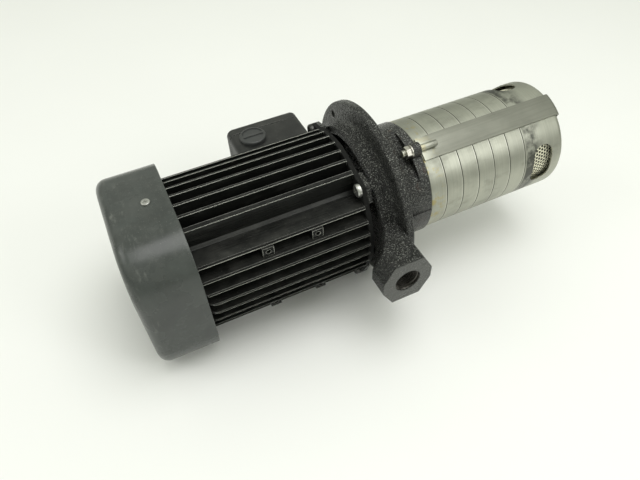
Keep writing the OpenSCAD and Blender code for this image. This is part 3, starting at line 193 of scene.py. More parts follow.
def helix_thread(name, start, axis, radius, depth, pitch, first, last):
    """A vee thread as one ridge wound round a level axis from first to last, in millimetres from start.

    A point is at start + s axis + r (side cos a + other sin a). The angle a runs on along the ridge and s
    grows by one pitch a turn. The ridge's section has its feet on the wall, where r is radius, and its
    narrow crest depth away from it, inwards where depth is negative, less and less at both ends."""
    turns = (last - first - pitch) / pitch
    steps = int(turns * THREAD_STEPS)
    t = np.linspace(0, 1, steps)
    angle = t * turns * 2 * math.pi
    fade = np.clip(np.minimum(t, 1 - t) * turns * 2, THREAD_FADE, 1)
    across = np.array([-THREAD_FOOT, -THREAD_CREST, THREAD_CREST, THREAD_FOOT]) * pitch
    height = np.array([0.0, 1.0, 1.0, 0.0]) * depth
    r = radius + height[None, :] * fade[:, None]
    s = first + pitch / 2 + t[:, None] * turns * pitch + across[None, :]
    side = np.cross(axis, (0.0, 0.0, 1.0))
    other = np.cross(axis, side)
    c, n = np.cos(angle)[:, None, None], np.sin(angle)[:, None, None]
    points = np.asarray(start) + s[..., None] * np.array(axis) + r[..., None] * (c * side + n * other)
    end = steps * 4
    caps = [[3, 2, 1, 0], [end - 4, end - 3, end - 2, end - 1]]
    return mesh_object(name, laid(points.reshape(-1, 3)), [*tube_faces(steps, 4), *caps])


def perforated_sheet(name, radius, start, end, pitch, hole):
    """A round sheet with staggered holes, drawn as six-sided cells, each with a hole of twelve corners.

    Cells stand a pitch apart round the shaft and half the root of three of it along the shaft, every
    other row turned by half a cell. A cell's border is its hexagon's corners and edge middles: at angle
    t it lies pitch / 2 over the cosine of t's distance from the nearest edge middle. Both end rows are
    joined to a plain round rim. The flat pattern (x, y) is rolled up at the angle y / radius."""
    corners = 12
    count = int(round(2 * math.pi * radius / pitch))
    step = 2 * math.pi * radius / count
    row_step = step * math.sqrt(3) / 2
    rows = int((end - start - 2 * step) / row_step) + 1
    first = (start + end - (rows - 1) * row_step) / 2
    t = np.arange(corners) * math.pi / 6
    border = step / 2 / np.cos(np.abs((t + math.pi / 6) % (math.pi / 3) - math.pi / 6))
    i, j = np.meshgrid(np.arange(rows), np.arange(count), indexing="ij")
    middle = np.stack([first + i * row_step, (j + (i % 2) / 2) * step], -1)[..., None, :]
    ways = np.stack([np.sin(t), np.cos(t)], -1)
    outer = middle + ways * border[:, None]
    inner = middle + ways * hole
    flat = np.concatenate([outer, inner], 2).reshape(-1, 2)
    cell = np.arange(rows * count)[:, None] * 2 * corners
    faces = []
    for k in range(corners):
        n = (k + 1) % corners
        faces.append(np.concatenate([cell + k, cell + n, cell + corners + n, cell + corners + k], 1))
    for row, turn, edge in ((rows - 1, range(1, 5), end), (0, range(7, 11), start)):
        for k in turn:
            a, b = outer[row, :, k], outer[row, :, k + 1]
            rim = np.stack([a, b, b * (0, 1) + (edge, 0), a * (0, 1) + (edge, 0)], 1)
            faces.append(len(flat) + np.arange(count)[:, None] * 4 + np.arange(4))
            flat = np.concatenate([flat, rim.reshape(-1, 2)])
    angle = flat[:, 1] / radius
    points = np.stack([flat[:, 0], radius * np.cos(angle), radius * np.sin(angle)], -1)
    return mesh_object(name, laid(points), np.concatenate(faces))


# Node trees

MIX_SHARE, MIX_FIRST, MIX_SECOND, MIX_RESULT = 0, 6, 7, 2  # the Mix node's sockets when it mixes colours


class Wires:
    """A node tree being wired up: each call adds a node, sets its plain sockets and links the others."""

    def __init__(self, tree):
        self.tree = tree

    def feed(self, socket, value):
        """Links a socket to another one, or sets it where the value is plain."""
        if isinstance(value, bpy.types.NodeSocket):
            self.tree.links.new(value, socket)
        else:
            socket.default_value = value

    def node(self, kind, inputs=None, **settings):
        made = self.tree.nodes.new(kind)
        for key, value in settings.items():
            setattr(made, key, value)
        for key, value in (inputs or {}).items():
            self.feed(made.inputs[key], value)
        return made

    def math(self, operation, a, b=0.0, c=0.0):
        return self.node("ShaderNodeMath", {0: a, 1: b, 2: c}, operation=operation).outputs[0]

    def product(self, first, *others):
        for other in others:
            first = self.math("MULTIPLY", first, other)
        return first

    def span(self, value, low, high, to_low=0.0, to_high=1.0, smooth=False):
        """A value's place between low and high, held to the ends, as a number from to_low to to_high."""
        made = self.node(
            "ShaderNodeMapRange",
            {"Value": value, "From Min": low, "From Max": high, "To Min": to_low, "To Max": to_high},
            interpolation_type="SMOOTHSTEP" if smooth else "LINEAR",
        )
        return made.outputs["Result"]

    def blend(self, share, a, b):
        """Colour a, covered by colour b as far as share says."""
        made = self.node("ShaderNodeMix", data_type="RGBA")
        for index, value in ((MIX_SHARE, share), (MIX_FIRST, a), (MIX_SECOND, b)):
            self.feed(made.inputs[index], value)
        return made.outputs[MIX_RESULT]

    def noise(self, vector, scale, detail, rough):
        inputs = {"Vector": vector, "Scale": scale, "Detail": detail, "Roughness": rough}
        return self.node("ShaderNodeTexNoise", inputs).outputs["Fac"]

    def stretched(self, vector, scale):
        return self.node("ShaderNodeMapping", {"Vector": vector, "Scale": scale}).outputs["Vector"]

    def vector_math(self, operation, inputs):
        return self.node("ShaderNodeVectorMath", inputs, operation=operation).outputs

    def parts_of(self, vector):
        """The three components of a vector, as sockets."""
        return self.node("ShaderNodeSeparateXYZ", {0: vector}).outputs


def group(name, inputs, outputs, wire):
    """A shader node group with named sockets, made once. wire(w, source) returns the outputs in order."""
    if name in bpy.data.node_groups:
        return bpy.data.node_groups[name]
    tree = bpy.data.node_groups.new(name, "ShaderNodeTree")
    for label, kind, value in inputs:
        socket = tree.interface.new_socket(label, in_out="INPUT", socket_type=kind)
        if value is not None:
            socket.default_value = value
    for label, kind in outputs:
        tree.interface.new_socket(label, in_out="OUTPUT", socket_type=kind)
    w = Wires(tree)
    source, sink = w.node("NodeGroupInput"), w.node("NodeGroupOutput")
    for (label, _), value in zip(outputs, wire(w, source.outputs)):
        tree.links.new(value, sink.inputs[label])
    return tree


FLOAT, VECTOR = "NodeSocketFloat", "NodeSocketVector"


def shaft_place():
    """Where a point is on the pump: its place in shaft millimetres, how far along the shaft, its radius."""

    def wire(w, source):
        co = w.node("ShaderNodeTexCoord").outputs["Object"]
        place = w.node(
            "ShaderNodeMapping",
            {
                "Vector": co,
                "Location": tuple(ORIGIN),
                "Rotation": (0.0, -TILT, 0.0),
                "Scale": (1 / MM_PER_M,) * 3,
            },
            vector_type="TEXTURE",
        ).outputs["Vector"]
        parts = w.parts_of(place)
        flat = w.node("ShaderNodeCombineXYZ", {1: parts[1], 2: parts[2]}).outputs[0]
        return [place, parts[0], w.vector_math("LENGTH", {0: flat})["Value"]]

    return group("shaft_place", [], [("Place", VECTOR), ("Along", FLOAT), ("Radius", FLOAT)], wire)


def edge_wear():
    """Where an edge is rubbed: how far the rounded normal leans from the face's own, broken up by noise."""

    def wire(w, source):
        lean = w.vector_math("DOT_PRODUCT", {0: source["Rounded"], 1: source["Normal"]})["Value"]
        near = w.span(w.math("SUBTRACT", 1.0, lean), 0.004, 0.16)
        patch = w.noise(source["Place"], scale=0.11, detail=4.0, rough=0.62)
        fine = w.noise(source["Place"], scale=0.9, detail=3.0, rough=0.6)
        mixed = w.math("MULTIPLY_ADD", patch, 0.65, w.math("MULTIPLY", fine, 0.35))
        level = w.math("SUBTRACT", 1.0, source["Amount"])
        return [w.product(near, w.span(mixed, level, w.math("ADD", level, 0.16)))]

    vectors = [(label, VECTOR, None) for label in ("Rounded", "Normal", "Place")]
    return group("edge_wear", [*vectors, ("Amount", FLOAT, 0.5)], [("Mask", FLOAT)], wire)


def sand_cast():
    """The skin of a sand casting: lumps, grains and grit as one height, a mask of its tops, and patches."""

    def wire(w, source):
        place = w.vector_math("SCALE", {0: source["Place"], 3: source["Grain"]})["Vector"]
        lumps = w.noise(place, scale=0.16, detail=3.0, rough=0.6)
        grains = w.node(
            "ShaderNodeTexVoronoi", {"Vector": place, "Scale": 0.72, "Randomness": 1.0}, feature="SMOOTH_F1"
        ).outputs["Distance"]
        grit = w.noise(place, scale=1.1, detail=4.0, rough=0.7)
        height = w.math("MULTIPLY_ADD", lumps, 1.3, w.math("MULTIPLY_ADD", grains, -0.7, grit))
        tops = w.span(w.math("SUBTRACT", grit, w.math("MULTIPLY", grains, 0.35)), 0.42, 0.48)
        return [height, tops, w.span(lumps, 0.35, 0.65)]

    return group(
        "sand_cast",
        [("Place", VECTOR, None), ("Grain", FLOAT, 1.0)],
        [("Height", FLOAT), ("Tops", FLOAT), ("Patches", FLOAT)],
        wire,
    )


def brushed():
    """Brush lines: fine and wide noise, squeezed by Stretch along each axis, and slow cloudiness."""

    def wire(w, source):
        place = w.vector_math("MULTIPLY", {0: source["Place"], 1: source["Stretch"]})["Vector"]
        lines = w.noise(place, scale=1.0, detail=5.0, rough=0.7)
        wide = w.noise(place, scale=0.18, detail=2.0, rough=0.5)
        cloud = w.noise(source["Place"], scale=0.035, detail=3.0, rough=0.55)
        return [lines, wide, w.span(cloud, 0.3, 0.7)]

    return group(
        "brushed",
        [("Place", VECTOR, None), ("Stretch", VECTOR, (6.0, 0.12, 0.12))],
        [("Lines", FLOAT), ("Bands", FLOAT), ("Cloud", FLOAT)],
        wire,
    )


def dust():
    """Pale dust that lies on faces that look up, thin and patchy, with a few specks."""

    def wire(w, source):
        lying = w.span(w.parts_of(source["Normal"])[2], 0.1, 0.9)
        patch = w.span(w.noise(source["Place"], scale=0.06, detail=5.0, rough=0.65), 0.42, 0.72)
        speck = w.span(w.noise(source["Place"], scale=1.4, detail=2.0, rough=0.5), 0.68, 0.76)
        return [w.product(lying, w.math("MAXIMUM", w.math("MULTIPLY", patch, source["Amount"]), speck))]

    sockets = [("Place", VECTOR, None), ("Normal", VECTOR, None), ("Amount", FLOAT, 0.3)]
    return group("dust", sockets, [("Mask", FLOAT)], wire)


# Finishes


def rgba(colour, share=1.0):
    return (colour[0] * share, colour[1] * share, colour[2] * share, 1.0)


DUST = rgba((0.36, 0.35, 0.32))
BARE_METAL = rgba((0.42, 0.42, 0.4))
GREYED_PLASTIC = rgba((0.3, 0.3, 0.29))
SCUFFED_PAINT = rgba((0.3, 0.31, 0.28))
SMEARED_PAINT = rgba((0.09, 0.092, 0.082))
PALE_GRAIN_AND_GLINT = rgba((0.32, 0.33, 0.3))
MACHINED_IRON = rgba((0.05, 0.052, 0.046))
RUBBED_IRON = rgba((0.16, 0.155, 0.14))
RUST = rgba((0.08, 0.03, 0.012))
PARTING_SHADOW = rgba((0.002, 0.002, 0.002))
SEAM_HIGHLIGHT = rgba((0.9, 0.9, 0.82))
SEAM_DIRT = rgba((0.04, 0.04, 0.03))
SOILED_STEEL = rgba((0.05, 0.052, 0.047))
STRAINER_INSIDE_SHADE = rgba((0.012, 0.012, 0.01))
SHADED_ZINC = rgba((0.03, 0.03, 0.028))
BEVEL_SAMPLES = 4


class Finish(Wires):
    """A material with its Principled shader, the point's place on the pump and the softened edge normal.

    base is the colour so far: ground() starts it, coat() goes over it, and both hand it to the shader."""

    def __init__(self, name, rounding=0.0006):
        self.material = bpy.data.materials.new(name)
        self.material.use_nodes = True
        super().__init__(self.material.node_tree)
        self.tree.nodes.clear()
        self.shader = self.node("ShaderNodeBsdfPrincipled")
        self.node("ShaderNodeOutputMaterial", {0: self.shader.outputs[0]})
        self.place, self.along, self.radius = self.use(shaft_place())
        self.parts = self.parts_of(self.place)
        self.normal = self.node("ShaderNodeNewGeometry").outputs["Normal"]
        self.rounded = self.normal
        if rounding:
            bevel = self.node("ShaderNodeBevel", {"Radius": rounding}, samples=BEVEL_SAMPLES)
            self.rounded = bevel.outputs[0]

    def use(self, tree, inputs=None):
        """Places a node group and returns its outputs."""
        return self.node("ShaderNodeGroup", inputs, node_tree=tree).outputs

    def set(self, **values):
        """Sets or links sockets of the shader, named with _ for a space."""
        for key, value in values.items():
            self.feed(self.shader.inputs[key.replace("_", " ")], value)

    def ground(self, share, first, second):
        """Starts the colour as a mix of two."""
        self.base = self.blend(share, first, second)
        self.set(Base_Color=self.base)

    def coat(self, share, colour):
        """Covers the colour so far with another, as far as share says."""
        self.ground(share, self.base, colour)

    def bump(self, height, depth):
        """Raises the surface by height, depth in metres, over the softened edges."""
        inputs = {"Height": height, "Distance": depth, "Strength": 1.0, "Normal": self.rounded}
        self.set(Normal=self.node("ShaderNodeBump", inputs).outputs[0])

    def wear(self, amount):
        """The mask of the rubbed edges."""
        inputs = {"Rounded": self.rounded, "Normal": self.normal, "Place": self.place, "Amount": amount}
        return self.use(edge_wear(), inputs)[0]

    def dusty(self, amount):
        """Covers the colour so far with dust, and returns the dust's mask."""
        mask = self.use(dust(), {"Place": self.place, "Normal": self.normal, "Amount": amount})[0]
        self.coat(self.math("MULTIPLY", mask, 0.5), DUST)
        return mask

    def brush(self, stretch):
        """Brush lines, bands and clouds, fine along the axes where stretch is large."""
        return self.use(brushed(), {"Place": self.place, "Stretch": stretch})


def painted(name, colour, rough, peel, worn, dust_share):
    """Paint with orange peel, cloudy gloss, pale rub marks at the edges, fine scratches and some dust."""
    f = Finish(name)
    cloud = f.noise(f.place, scale=0.04, detail=4.0, rough=0.6)
    f.ground(f.span(cloud, 0.35, 0.68), rgba(colour, 0.82), rgba(colour, 1.2))
    scratch = f.noise(f.stretched(f.place, (0.05, 1.1, 0.5)), scale=1.0, detail=6.0, rough=0.75)
    f.coat(f.span(scratch, 0.66, 0.72, 0.0, 0.35), rgba(colour, 3.2))
    f.coat(f.math("MULTIPLY", f.wear(worn), 0.6), BARE_METAL)
    lying = f.dusty(dust_share)
    gloss = f.span(cloud, 0.3, 0.7, rough - 0.06, rough + 0.08)
    f.set(Roughness=f.math("MULTIPLY_ADD", lying, 0.2, gloss))
    f.bump(f.noise(f.place, scale=0.55, detail=3.0, rough=0.55), peel)
    return f


def metal(name, colour, rough, stretch=(6.0, 0.12, 0.12), depth=0.000012, rounding=0.0004, stain=0.25):
    """Bright metal with brush lines, bands of slightly different tone and faint grey staining."""
    f = Finish(name, rounding)
    lines, bands, cloud = f.brush(stretch)
    f.ground(f.span(bands, 0.3, 0.7), rgba(colour, 0.86), rgba(colour, 1.1))
    f.coat(f.math("MULTIPLY", cloud, stain), rgba(colour, 0.55))
    f.set(Metallic=1.0, Roughness=f.span(lines, 0.3, 0.7, rough - 0.05, rough + 0.09))
    f.bump(lines, depth)
    return f


def moulded(name, colour, rough):
    """Moulded plastic or rubber: a fine skin, slow variation of tone and gloss, greyed edges."""
    f = Finish(name)
    cloud = f.noise(f.place, scale=0.07, detail=4.0, rough=0.6)
    f.ground(f.span(cloud, 0.35, 0.65), rgba(colour, 0.8), rgba(colour, 1.2))
    f.coat(f.math("MULTIPLY", f.wear(0.45), 0.35), GREYED_PLASTIC)
    f.set(Roughness=f.span(cloud, 0.3, 0.7, rough - 0.07, rough + 0.07))
    f.bump(f.noise(f.place, scale=0.9, detail=4.0, rough=0.6), 0.00003)
    return f


def cover_finish(looks, back):
    """Satin paint with pale scuffs, most of them next to the back edge, at back along the shaft."""
    f = painted("cover_paint", looks.paint, rough=0.25, peel=0.00002, worn=0.5, dust_share=0.12)
    scuff = f.noise(f.stretched(f.place, (0.3, 0.09, 0.09)), scale=1.0, detail=6.0, rough=0.72)
    near_back = f.span(f.along, back + 30.0, back + 4.0, 0.06, 0.3)
    f.coat(f.product(f.span(scuff, 0.56, 0.68), near_back), SCUFFED_PAINT)
    return f


def housing_finish(looks, tip):
    """Black paint on an extrusion, with ripples along the fins, smears, dust and a painted highlight on the
    fin tips.

    tip is the radius of the fin tips in millimetres. The outermost band of it, the crown, is dull. A
    rounded normal crossed with its place from the shaft tells one side of a tip from the other, and only
    one side gets a pale line: a painted highlight, broken up by the edge-wear mask."""
    f = Finish("housing_paint", 0.0007)
    cloud = f.noise(f.place, scale=0.05, detail=4.0, rough=0.6)
    ripple = f.noise(f.stretched(f.place, (0.02, 1.6, 1.6)), scale=1.0, detail=4.0, rough=0.6)
    smear = f.noise(f.stretched(f.place, (0.03, 0.12, 0.12)), scale=1.0, detail=5.0, rough=0.65)
    way = f.parts_of(f.rounded)
    turned = f.math("SUBTRACT", f.product(way[2], f.parts[1]), f.product(way[1], f.parts[2]))
    lean = f.span(f.math("DIVIDE", turned, f.radius), 0.0, 0.12, 0.15, 1.0)
    outer = f.span(f.radius, tip - 5.0, tip - 1.0)
    # Painted highlight: a pale, slightly metallic line along one edge of each fin tip, on the side the
    # rounded normal leans to, broken up by the edge-wear mask.
    rubbed = f.math("MINIMUM", f.product(outer, lean, f.math("MULTIPLY", f.wear(0.9), 1.8)), 1.0)
    crown = f.span(f.radius, tip - 0.4, tip - 0.2)
    f.ground(f.span(cloud, 0.35, 0.68), rgba(looks.paint, 0.7), rgba(looks.paint, 1.35))
    f.coat(crown, rgba(looks.paint, 0.35))
    f.coat(rubbed, rgba(looks.tips))
    f.coat(f.math("MULTIPLY", f.span(smear, 0.52, 0.75), 0.22), SMEARED_PAINT)
    f.dusty(0.1)
    gloss = f.math("MULTIPLY_ADD", crown, 0.6, f.span(ripple, 0.3, 0.7, 0.24, 0.38))
    f.set(Metallic=f.math("MULTIPLY", rubbed, 0.25), Roughness=gloss, Specular_IOR_Level=0.4)
    f.bump(ripple, 0.00003)
    return f


PORT_FACE_DEPTH = 0.25  # how far behind the port's face its machined finish reaches
WINDOW_RADIUS = (66.0, 60.0)  # rust starts and is full, inside the stool
PARTING_HEIGHT, PARTING_START, PARTING_RADIUS = 4.2, 12.5, 54.0
NECK = (22.0, 30.0)  # the casting's skin gets smoother along here


def head_finish(looks):
    """Black paint over sand-cast iron.

    Grain tops are pale, and paler on faces that look up as a painted glint from the light above; the
    machined port face is smooth and lighter, rust sits in the windows, edges are rubbed, and a painted
    shadow line runs along the mould's parting step on the neck."""
    f = Finish("head_iron", 0.0011)
    height, tops, patches = f.use(sand_cast(), {"Place": f.place, "Grain": looks.grain})
    up = f.parts_of(f.normal)[2]
    face = f.math("LESS_THAN", f.parts[1], float(PORT_CENTRE[1]) + PORT_FACE_DEPTH)
    rust = f.span(f.noise(f.place, scale=0.12, detail=5.0, rough=0.7), 0.56, 0.7)
    f.ground(patches, rgba(looks.paint, 0.75), rgba(looks.paint, 1.3))
    # Pale grain tops, and a painted glint: they are paler on faces that look up.
    f.coat(f.product(tops, f.span(up, -0.3, 0.8, 0.25, 0.75)), PALE_GRAIN_AND_GLINT)
    f.coat(f.math("MULTIPLY", face, 0.8), MACHINED_IRON)
    f.coat(f.product(rust, f.span(f.radius, *WINDOW_RADIUS), 0.4), RUST)
    f.coat(f.math("MULTIPLY", f.wear(0.5), 0.5), RUBBED_IRON)
    f.dusty(0.12)
    # Painted shadow: a dark line along the small step of the mould's parting on the neck.
    off_line = f.math("ABSOLUTE", f.math("SUBTRACT", f.parts[2], PARTING_HEIGHT))
    on_neck = f.product(
        f.span(f.along, PARTING_START, PARTING_START + 1.0),
        f.span(f.radius, PARTING_RADIUS, PARTING_RADIUS + 1.0),
    )
    f.coat(f.product(f.span(off_line, 0.9, 0.3), on_neck, 0.9), PARTING_SHADOW)
    f.set(Roughness=f.math("MULTIPLY_ADD", tops, -0.08, f.span(height, 0.2, 1.4, 0.3, 0.22)))
    neck = f.math("MULTIPLY", f.span(f.along, *NECK), 0.7)
    smooth = f.math("MAXIMUM", f.math("MULTIPLY", face, 0.85), neck)
    f.bump(f.product(height, f.math("SUBTRACT", 1.0, smooth)), 0.0014)
    return f


def stainless(name, looks, stretch, tone=1.0):
    """Stainless sheet: brush lines, cloudy and smudged. tone is its lightness as a share of the steel's."""
    f = Finish(name, 0.0003)
    lines, bands, _ = f.brush(stretch)
    cloud = f.span(f.noise(f.place, scale=0.045, detail=3.0, rough=0.5), 0.35, 0.65)
    smudge = f.noise(f.stretched(f.place, (0.03, 0.05, 0.05)), scale=1.0, detail=5.0, rough=0.65)
    smudge = f.span(smudge, 0.52, 0.72)
    f.ground(f.span(bands, 0.3, 0.7), rgba(looks.steel, 0.93 * tone), rgba(looks.steel, 1.07 * tone))
    f.coat(f.math("MULTIPLY", cloud, 0.3), rgba(looks.steel, 0.62 * tone))
    f.coat(f.math("MULTIPLY", smudge, 0.4), rgba(looks.steel, 0.4))
    gloss = f.span(lines, 0.3, 0.7, 0.38, 0.5)
    f.set(Metallic=1.0, Roughness=f.math("MULTIPLY_ADD", smudge, 0.08, gloss))
    f.bump(lines, 0.000008)
    return f


LAST_SEAM = 5  # counted from the first, at 0
SOILED = (149.0, 151.0, 160.0, 172.0)  # the dark smudge round the windows: starts, full, fades, ends


def seams(f, looks):
    """Dark dirt in each seam, a painted highlight on the edge before it, and a dark smudge round the
    suction windows.
    """
    pitch, first = looks.seam_pitch * MM_PER_M, looks.seam_first * MM_PER_M
    turn = f.math("DIVIDE", f.math("SUBTRACT", f.along, first), pitch)
    off = f.math("MULTIPLY", f.math("SUBTRACT", turn, f.math("ROUND", turn)), pitch)
    seamed = f.span(f.along, first + (LAST_SEAM + 0.5) * pitch, first + (LAST_SEAM + 0.4) * pitch)
    # Painted highlight: a light line on the rolled edge just before each seam.
    bright = f.product(f.span(off, -1.3, -0.8), f.span(off, -0.1, -0.4))
    f.coat(f.product(bright, seamed, 0.45), SEAM_HIGHLIGHT)
    f.coat(f.product(f.span(f.math("ABSOLUTE", off), 0.6, 0.3), seamed, 0.8), SEAM_DIRT)
    smudge = f.noise(f.stretched(f.place, (0.05, 0.045, 0.045)), scale=1.0, detail=5.0, rough=0.6)
    start, full, fading, end = SOILED
    soiled = f.product(f.span(f.along, start, full), f.span(f.along, end, fading))
    f.coat(f.product(soiled, f.span(smudge, 0.38, 0.52), 0.85), SOILED_STEEL)


def splash(f, looks, share):
    """Yellow stains of coolant next to the head."""
    spots = f.span(f.noise(f.place, scale=0.12, detail=4.0, rough=0.6), 0.53, 0.62)
    f.coat(f.product(f.span(f.along, 58.0, 42.0), spots, share), rgba(looks.stain))


WELD_DISTANCE = 2e-6  # metres
SPLIT_ANGLE = math.radians(30)


def dress(finish, *nodes):
    """Gives CAD nodes a finish, and welds and softens them for shading without touching their points."""
    for name in nodes:
        piece = NODES[name]
        piece.data.materials.clear()
        piece.data.materials.append(finish.material)
        piece.data.polygons.foreach_set("use_smooth", np.ones(len(piece.data.polygons), bool))
        weld = piece.modifiers.new("weld", "WELD")
        weld.merge_threshold = WELD_DISTANCE
        split = piece.modifiers.new("split", "EDGE_SPLIT")
        split.split_angle = SPLIT_ANGLE


def ride(piece, finish, replaces=()):
    """Puts a new piece on the still body with a finish, and hides the nodes it replaces."""
    piece.data.materials.append(finish.material)
    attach(piece, BODY)
    if replaces:
        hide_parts(*replaces)


def thicken(piece, thickness, even=False):
    """Gives a skin its wall, inwards from its outer face."""
    wall = piece.modifiers.new("sheet", "SOLIDIFY")
    wall.thickness, wall.offset, wall.use_even_offset = thickness, -1.0, even


# Sizes and colours


class PumpCoverLooks(bpy.types.PropertyGroup):
    wall: bpy.props.FloatProperty(
        name="Sheet", description="Thickness of the fan cover", default=0.002, unit="LENGTH"
    )
    corner: bpy.props.FloatProperty(
        name="Corner radius", description="Radius of the cover's long corners", default=0.042, unit="LENGTH"
    )
    edge: bpy.props.FloatProperty(
        name="Edge radius", description="Radius of the cover's back edge", default=0.010, unit="LENGTH"
    )
    paint: bpy.props.FloatVectorProperty(
        name="Paint", description="Colour of the fan cover", default=(0.044, 0.05, 0.046), subtype="COLOR"
    )


class PumpHeadLooks(bpy.types.PropertyGroup):
    grain: bpy.props.FloatProperty(
        name="Grain", description="Fineness of the casting's grains", default=1.0
    )
    thread_depth: bpy.props.FloatProperty(
        name="Thread depth", description="Depth of the port's thread", default=0.0011, unit="LENGTH"
    )
    thread_pitch: bpy.props.FloatProperty(
        name="Thread pitch", description="Pitch of the port's thread", default=0.001814, unit="LENGTH"
    )
    paint: bpy.props.FloatVectorProperty(
        name="Paint",
        description="Colour of the cast head",
        default=(0.0065, 0.0069, 0.0062),
        subtype="COLOR",
    )


class PumpMotorLooks(bpy.types.PropertyGroup):
    paint: bpy.props.FloatVectorProperty(
        name="Housing",
        description="Colour of the finned housing",
        default=(0.0075, 0.008, 0.0072),
        subtype="COLOR",
    )
    box: bpy.props.FloatVectorProperty(
        name="Terminal box",
        description="Colour of the terminal box",
        default=(0.0075, 0.008, 0.0074),
        subtype="COLOR",
    )
    # tips is the colour of the painted highlight along one edge of each fin tip.
    tips: bpy.props.FloatVectorProperty(
        name="Fin tips",
        description="Colour of the rubbed fin tips",
        default=(0.9, 0.91, 0.84),
        subtype="COLOR",
    )


class PumpChamberLooks(bpy.types.PropertyGroup):
    steel: bpy.props.FloatVectorProperty(
        name="Steel", description="Colour of the chambers", default=(0.44, 0.445, 0.38), subtype="COLOR"
    )
    stain: bpy.props.FloatVectorProperty(
        name="Stain", description="Colour of the coolant stains", default=(0.42, 0.33, 0.1), subtype="COLOR"
    )
    seam_first: bpy.props.FloatProperty(
        name="First seam",
        description="From the flange's face to the first seam",
        default=0.0572,
        unit="LENGTH",
    )
    seam_pitch: bpy.props.FloatProperty(
        name="Seam pitch", description="From one seam to the next", default=0.0182, unit="LENGTH"
    )
    stud: bpy.props.FloatProperty(
        name="Stud", description="Radius of the strap studs", default=0.00298, unit="LENGTH"
    )
    hole: bpy.props.FloatProperty(
        name="Strainer hole",
        description="Radius of a hole in the strainer",
        default=0.0013,
        unit="LENGTH",
    )
    hole_pitch: bpy.props.FloatProperty(
        name="Strainer pitch",
        description="Distance between holes in the strainer",
        default=0.0037,
        unit="LENGTH",
    )
    mesh: bpy.props.FloatVectorProperty(
        name="Strainer",
        description="Colour of the strainer sheet",
        default=(0.95, 0.93, 0.76),
        subtype="COLOR",
    )


class PumpRoomLooks(bpy.types.PropertyGroup):
    floor: bpy.props.FloatVectorProperty(
        name="Floor", description="Colour of the floor", default=(0.9, 0.9, 0.885), subtype="COLOR"
    )
    room: bpy.props.FloatVectorProperty(
        name="Room", description="Colour of the room's light", default=(0.96, 1.0, 0.88), subtype="COLOR"
    )
    soft_light: bpy.props.FloatProperty(
        name="Soft light", description="Strength of the room's light", default=0.7
    )
    key_light: bpy.props.FloatProperty(
        name="Key light", description="Power of the overhead lamp", default=12.3, unit="POWER"
    )


LOOKS = {
    "pump_cover": PumpCoverLooks,
    "pump_head": PumpHeadLooks,
    "pump_motor": PumpMotorLooks,
    "pump_chambers": PumpChamberLooks,
    "pump_room": PumpRoomLooks,
}


# Pieces

FLOOR_HALF = 3.0  # metres
FLOOR_CORNERS = ((-1, -1, 0), (1, -1, 0), (1, 1, 0), (-1, 1, 0))
HORIZON_SHARE, FULL_LIGHT_HEIGHT = 0.47, 0.55  # share of the room's light there, and where it is full
LAMPS = (  # name, place, what it looks at, width in metres, share of the key light
    ("lamp_over", (0.12, -0.2, 1.7), (0.0, 0.0, 0.05), 1.3, 1.0),
    ("lamp_right", (0.75, -1.1, 1.05), (0.0, 0.0, 0.1), 0.6, 0.3),
    ("lamp_left", (-1.4, 0.3, 1.2), (0.0, 0.0, 0.1), 0.9, 0.3),
)
CAMERA_PLACE = (-0.21268, -0.34871, 0.45501)
CAMERA_TURN = (43.6191, -2.0789, -25.344)  # degrees
CAMERA_LENS, CAMERA_SENSOR = 31.356, 36.0  # millimetres
CAMERA_CLIP = (0.02, 20.0)  # metres


class PUMP_OT_stage(bpy.types.Operator):
    """Makes the floor, the soft light and the camera"""

    bl_idname = "pump.stage"
    bl_label = "Floor, light and camera"

    def execute(self, context):
        looks = context.scene.pump_room
        self.lay_floor(looks)
        self.light_room(context, looks)
        for name, place, aim, size, share in LAMPS:
            data = bpy.data.lights.new(name, "AREA")
            data.shape, data.size, data.energy = "DISK", size, looks.key_light * share
            lamp = bpy.data.objects.new(name, data)
            context.scene.collection.objects.link(lamp)
            lamp.location = place
            lamp.rotation_mode = "QUATERNION"
            lamp.rotation_quaternion = Vector(np.subtract(aim, place)).to_track_quat("-Z", "Y")

        data = bpy.data.cameras.new("camera")
        data.lens, data.sensor_width = CAMERA_LENS, CAMERA_SENSOR
        data.clip_start, data.clip_end = CAMERA_CLIP
        camera = bpy.data.objects.new("camera", data)
        context.scene.collection.objects.link(camera)
        camera.location = CAMERA_PLACE
        camera.rotation_euler = [math.radians(a) for a in CAMERA_TURN]
        context.scene.camera = camera
        context.scene.view_settings.view_transform = "Standard"
        return {"FINISHED"}

    def lay_floor(self, looks):
        """A flat square under the pump, almost plain."""
        floor = mesh_object("floor", np.array(FLOOR_CORNERS) * FLOOR_HALF, [[0, 1, 2, 3]])
        f = Finish("floor_paint", 0)
        tone = f.span(f.noise(f.place, scale=0.004, detail=3.0, rough=0.5), 0.3, 0.7)
        f.ground(tone, rgba(looks.floor, 0.985), rgba(looks.floor))
        f.set(Roughness=0.6)
        f.bump(f.noise(f.place, scale=0.4, detail=3.0, rough=0.5), 0.00002)
        floor.data.materials.append(f.material)

    def light_room(self, context, looks):
        """Soft light from all round, weaker towards the horizon."""
        world = bpy.data.worlds.new("soft_room")
        context.scene.world = world
        world.use_nodes = True
        sky = Wires(world.node_tree)
        back = world.node_tree.nodes["Background"]
        up = sky.parts_of(sky.node("ShaderNodeTexCoord").outputs["Generated"])[2]
        height = sky.span(up, 0.0, FULL_LIGHT_HEIGHT, smooth=True)
        sky.feed(back.inputs["Color"], sky.blend(height, rgba(looks.room, HORIZON_SHARE), rgba(looks.room)))
        sky.feed(back.inputs["Strength"], looks.soft_light)


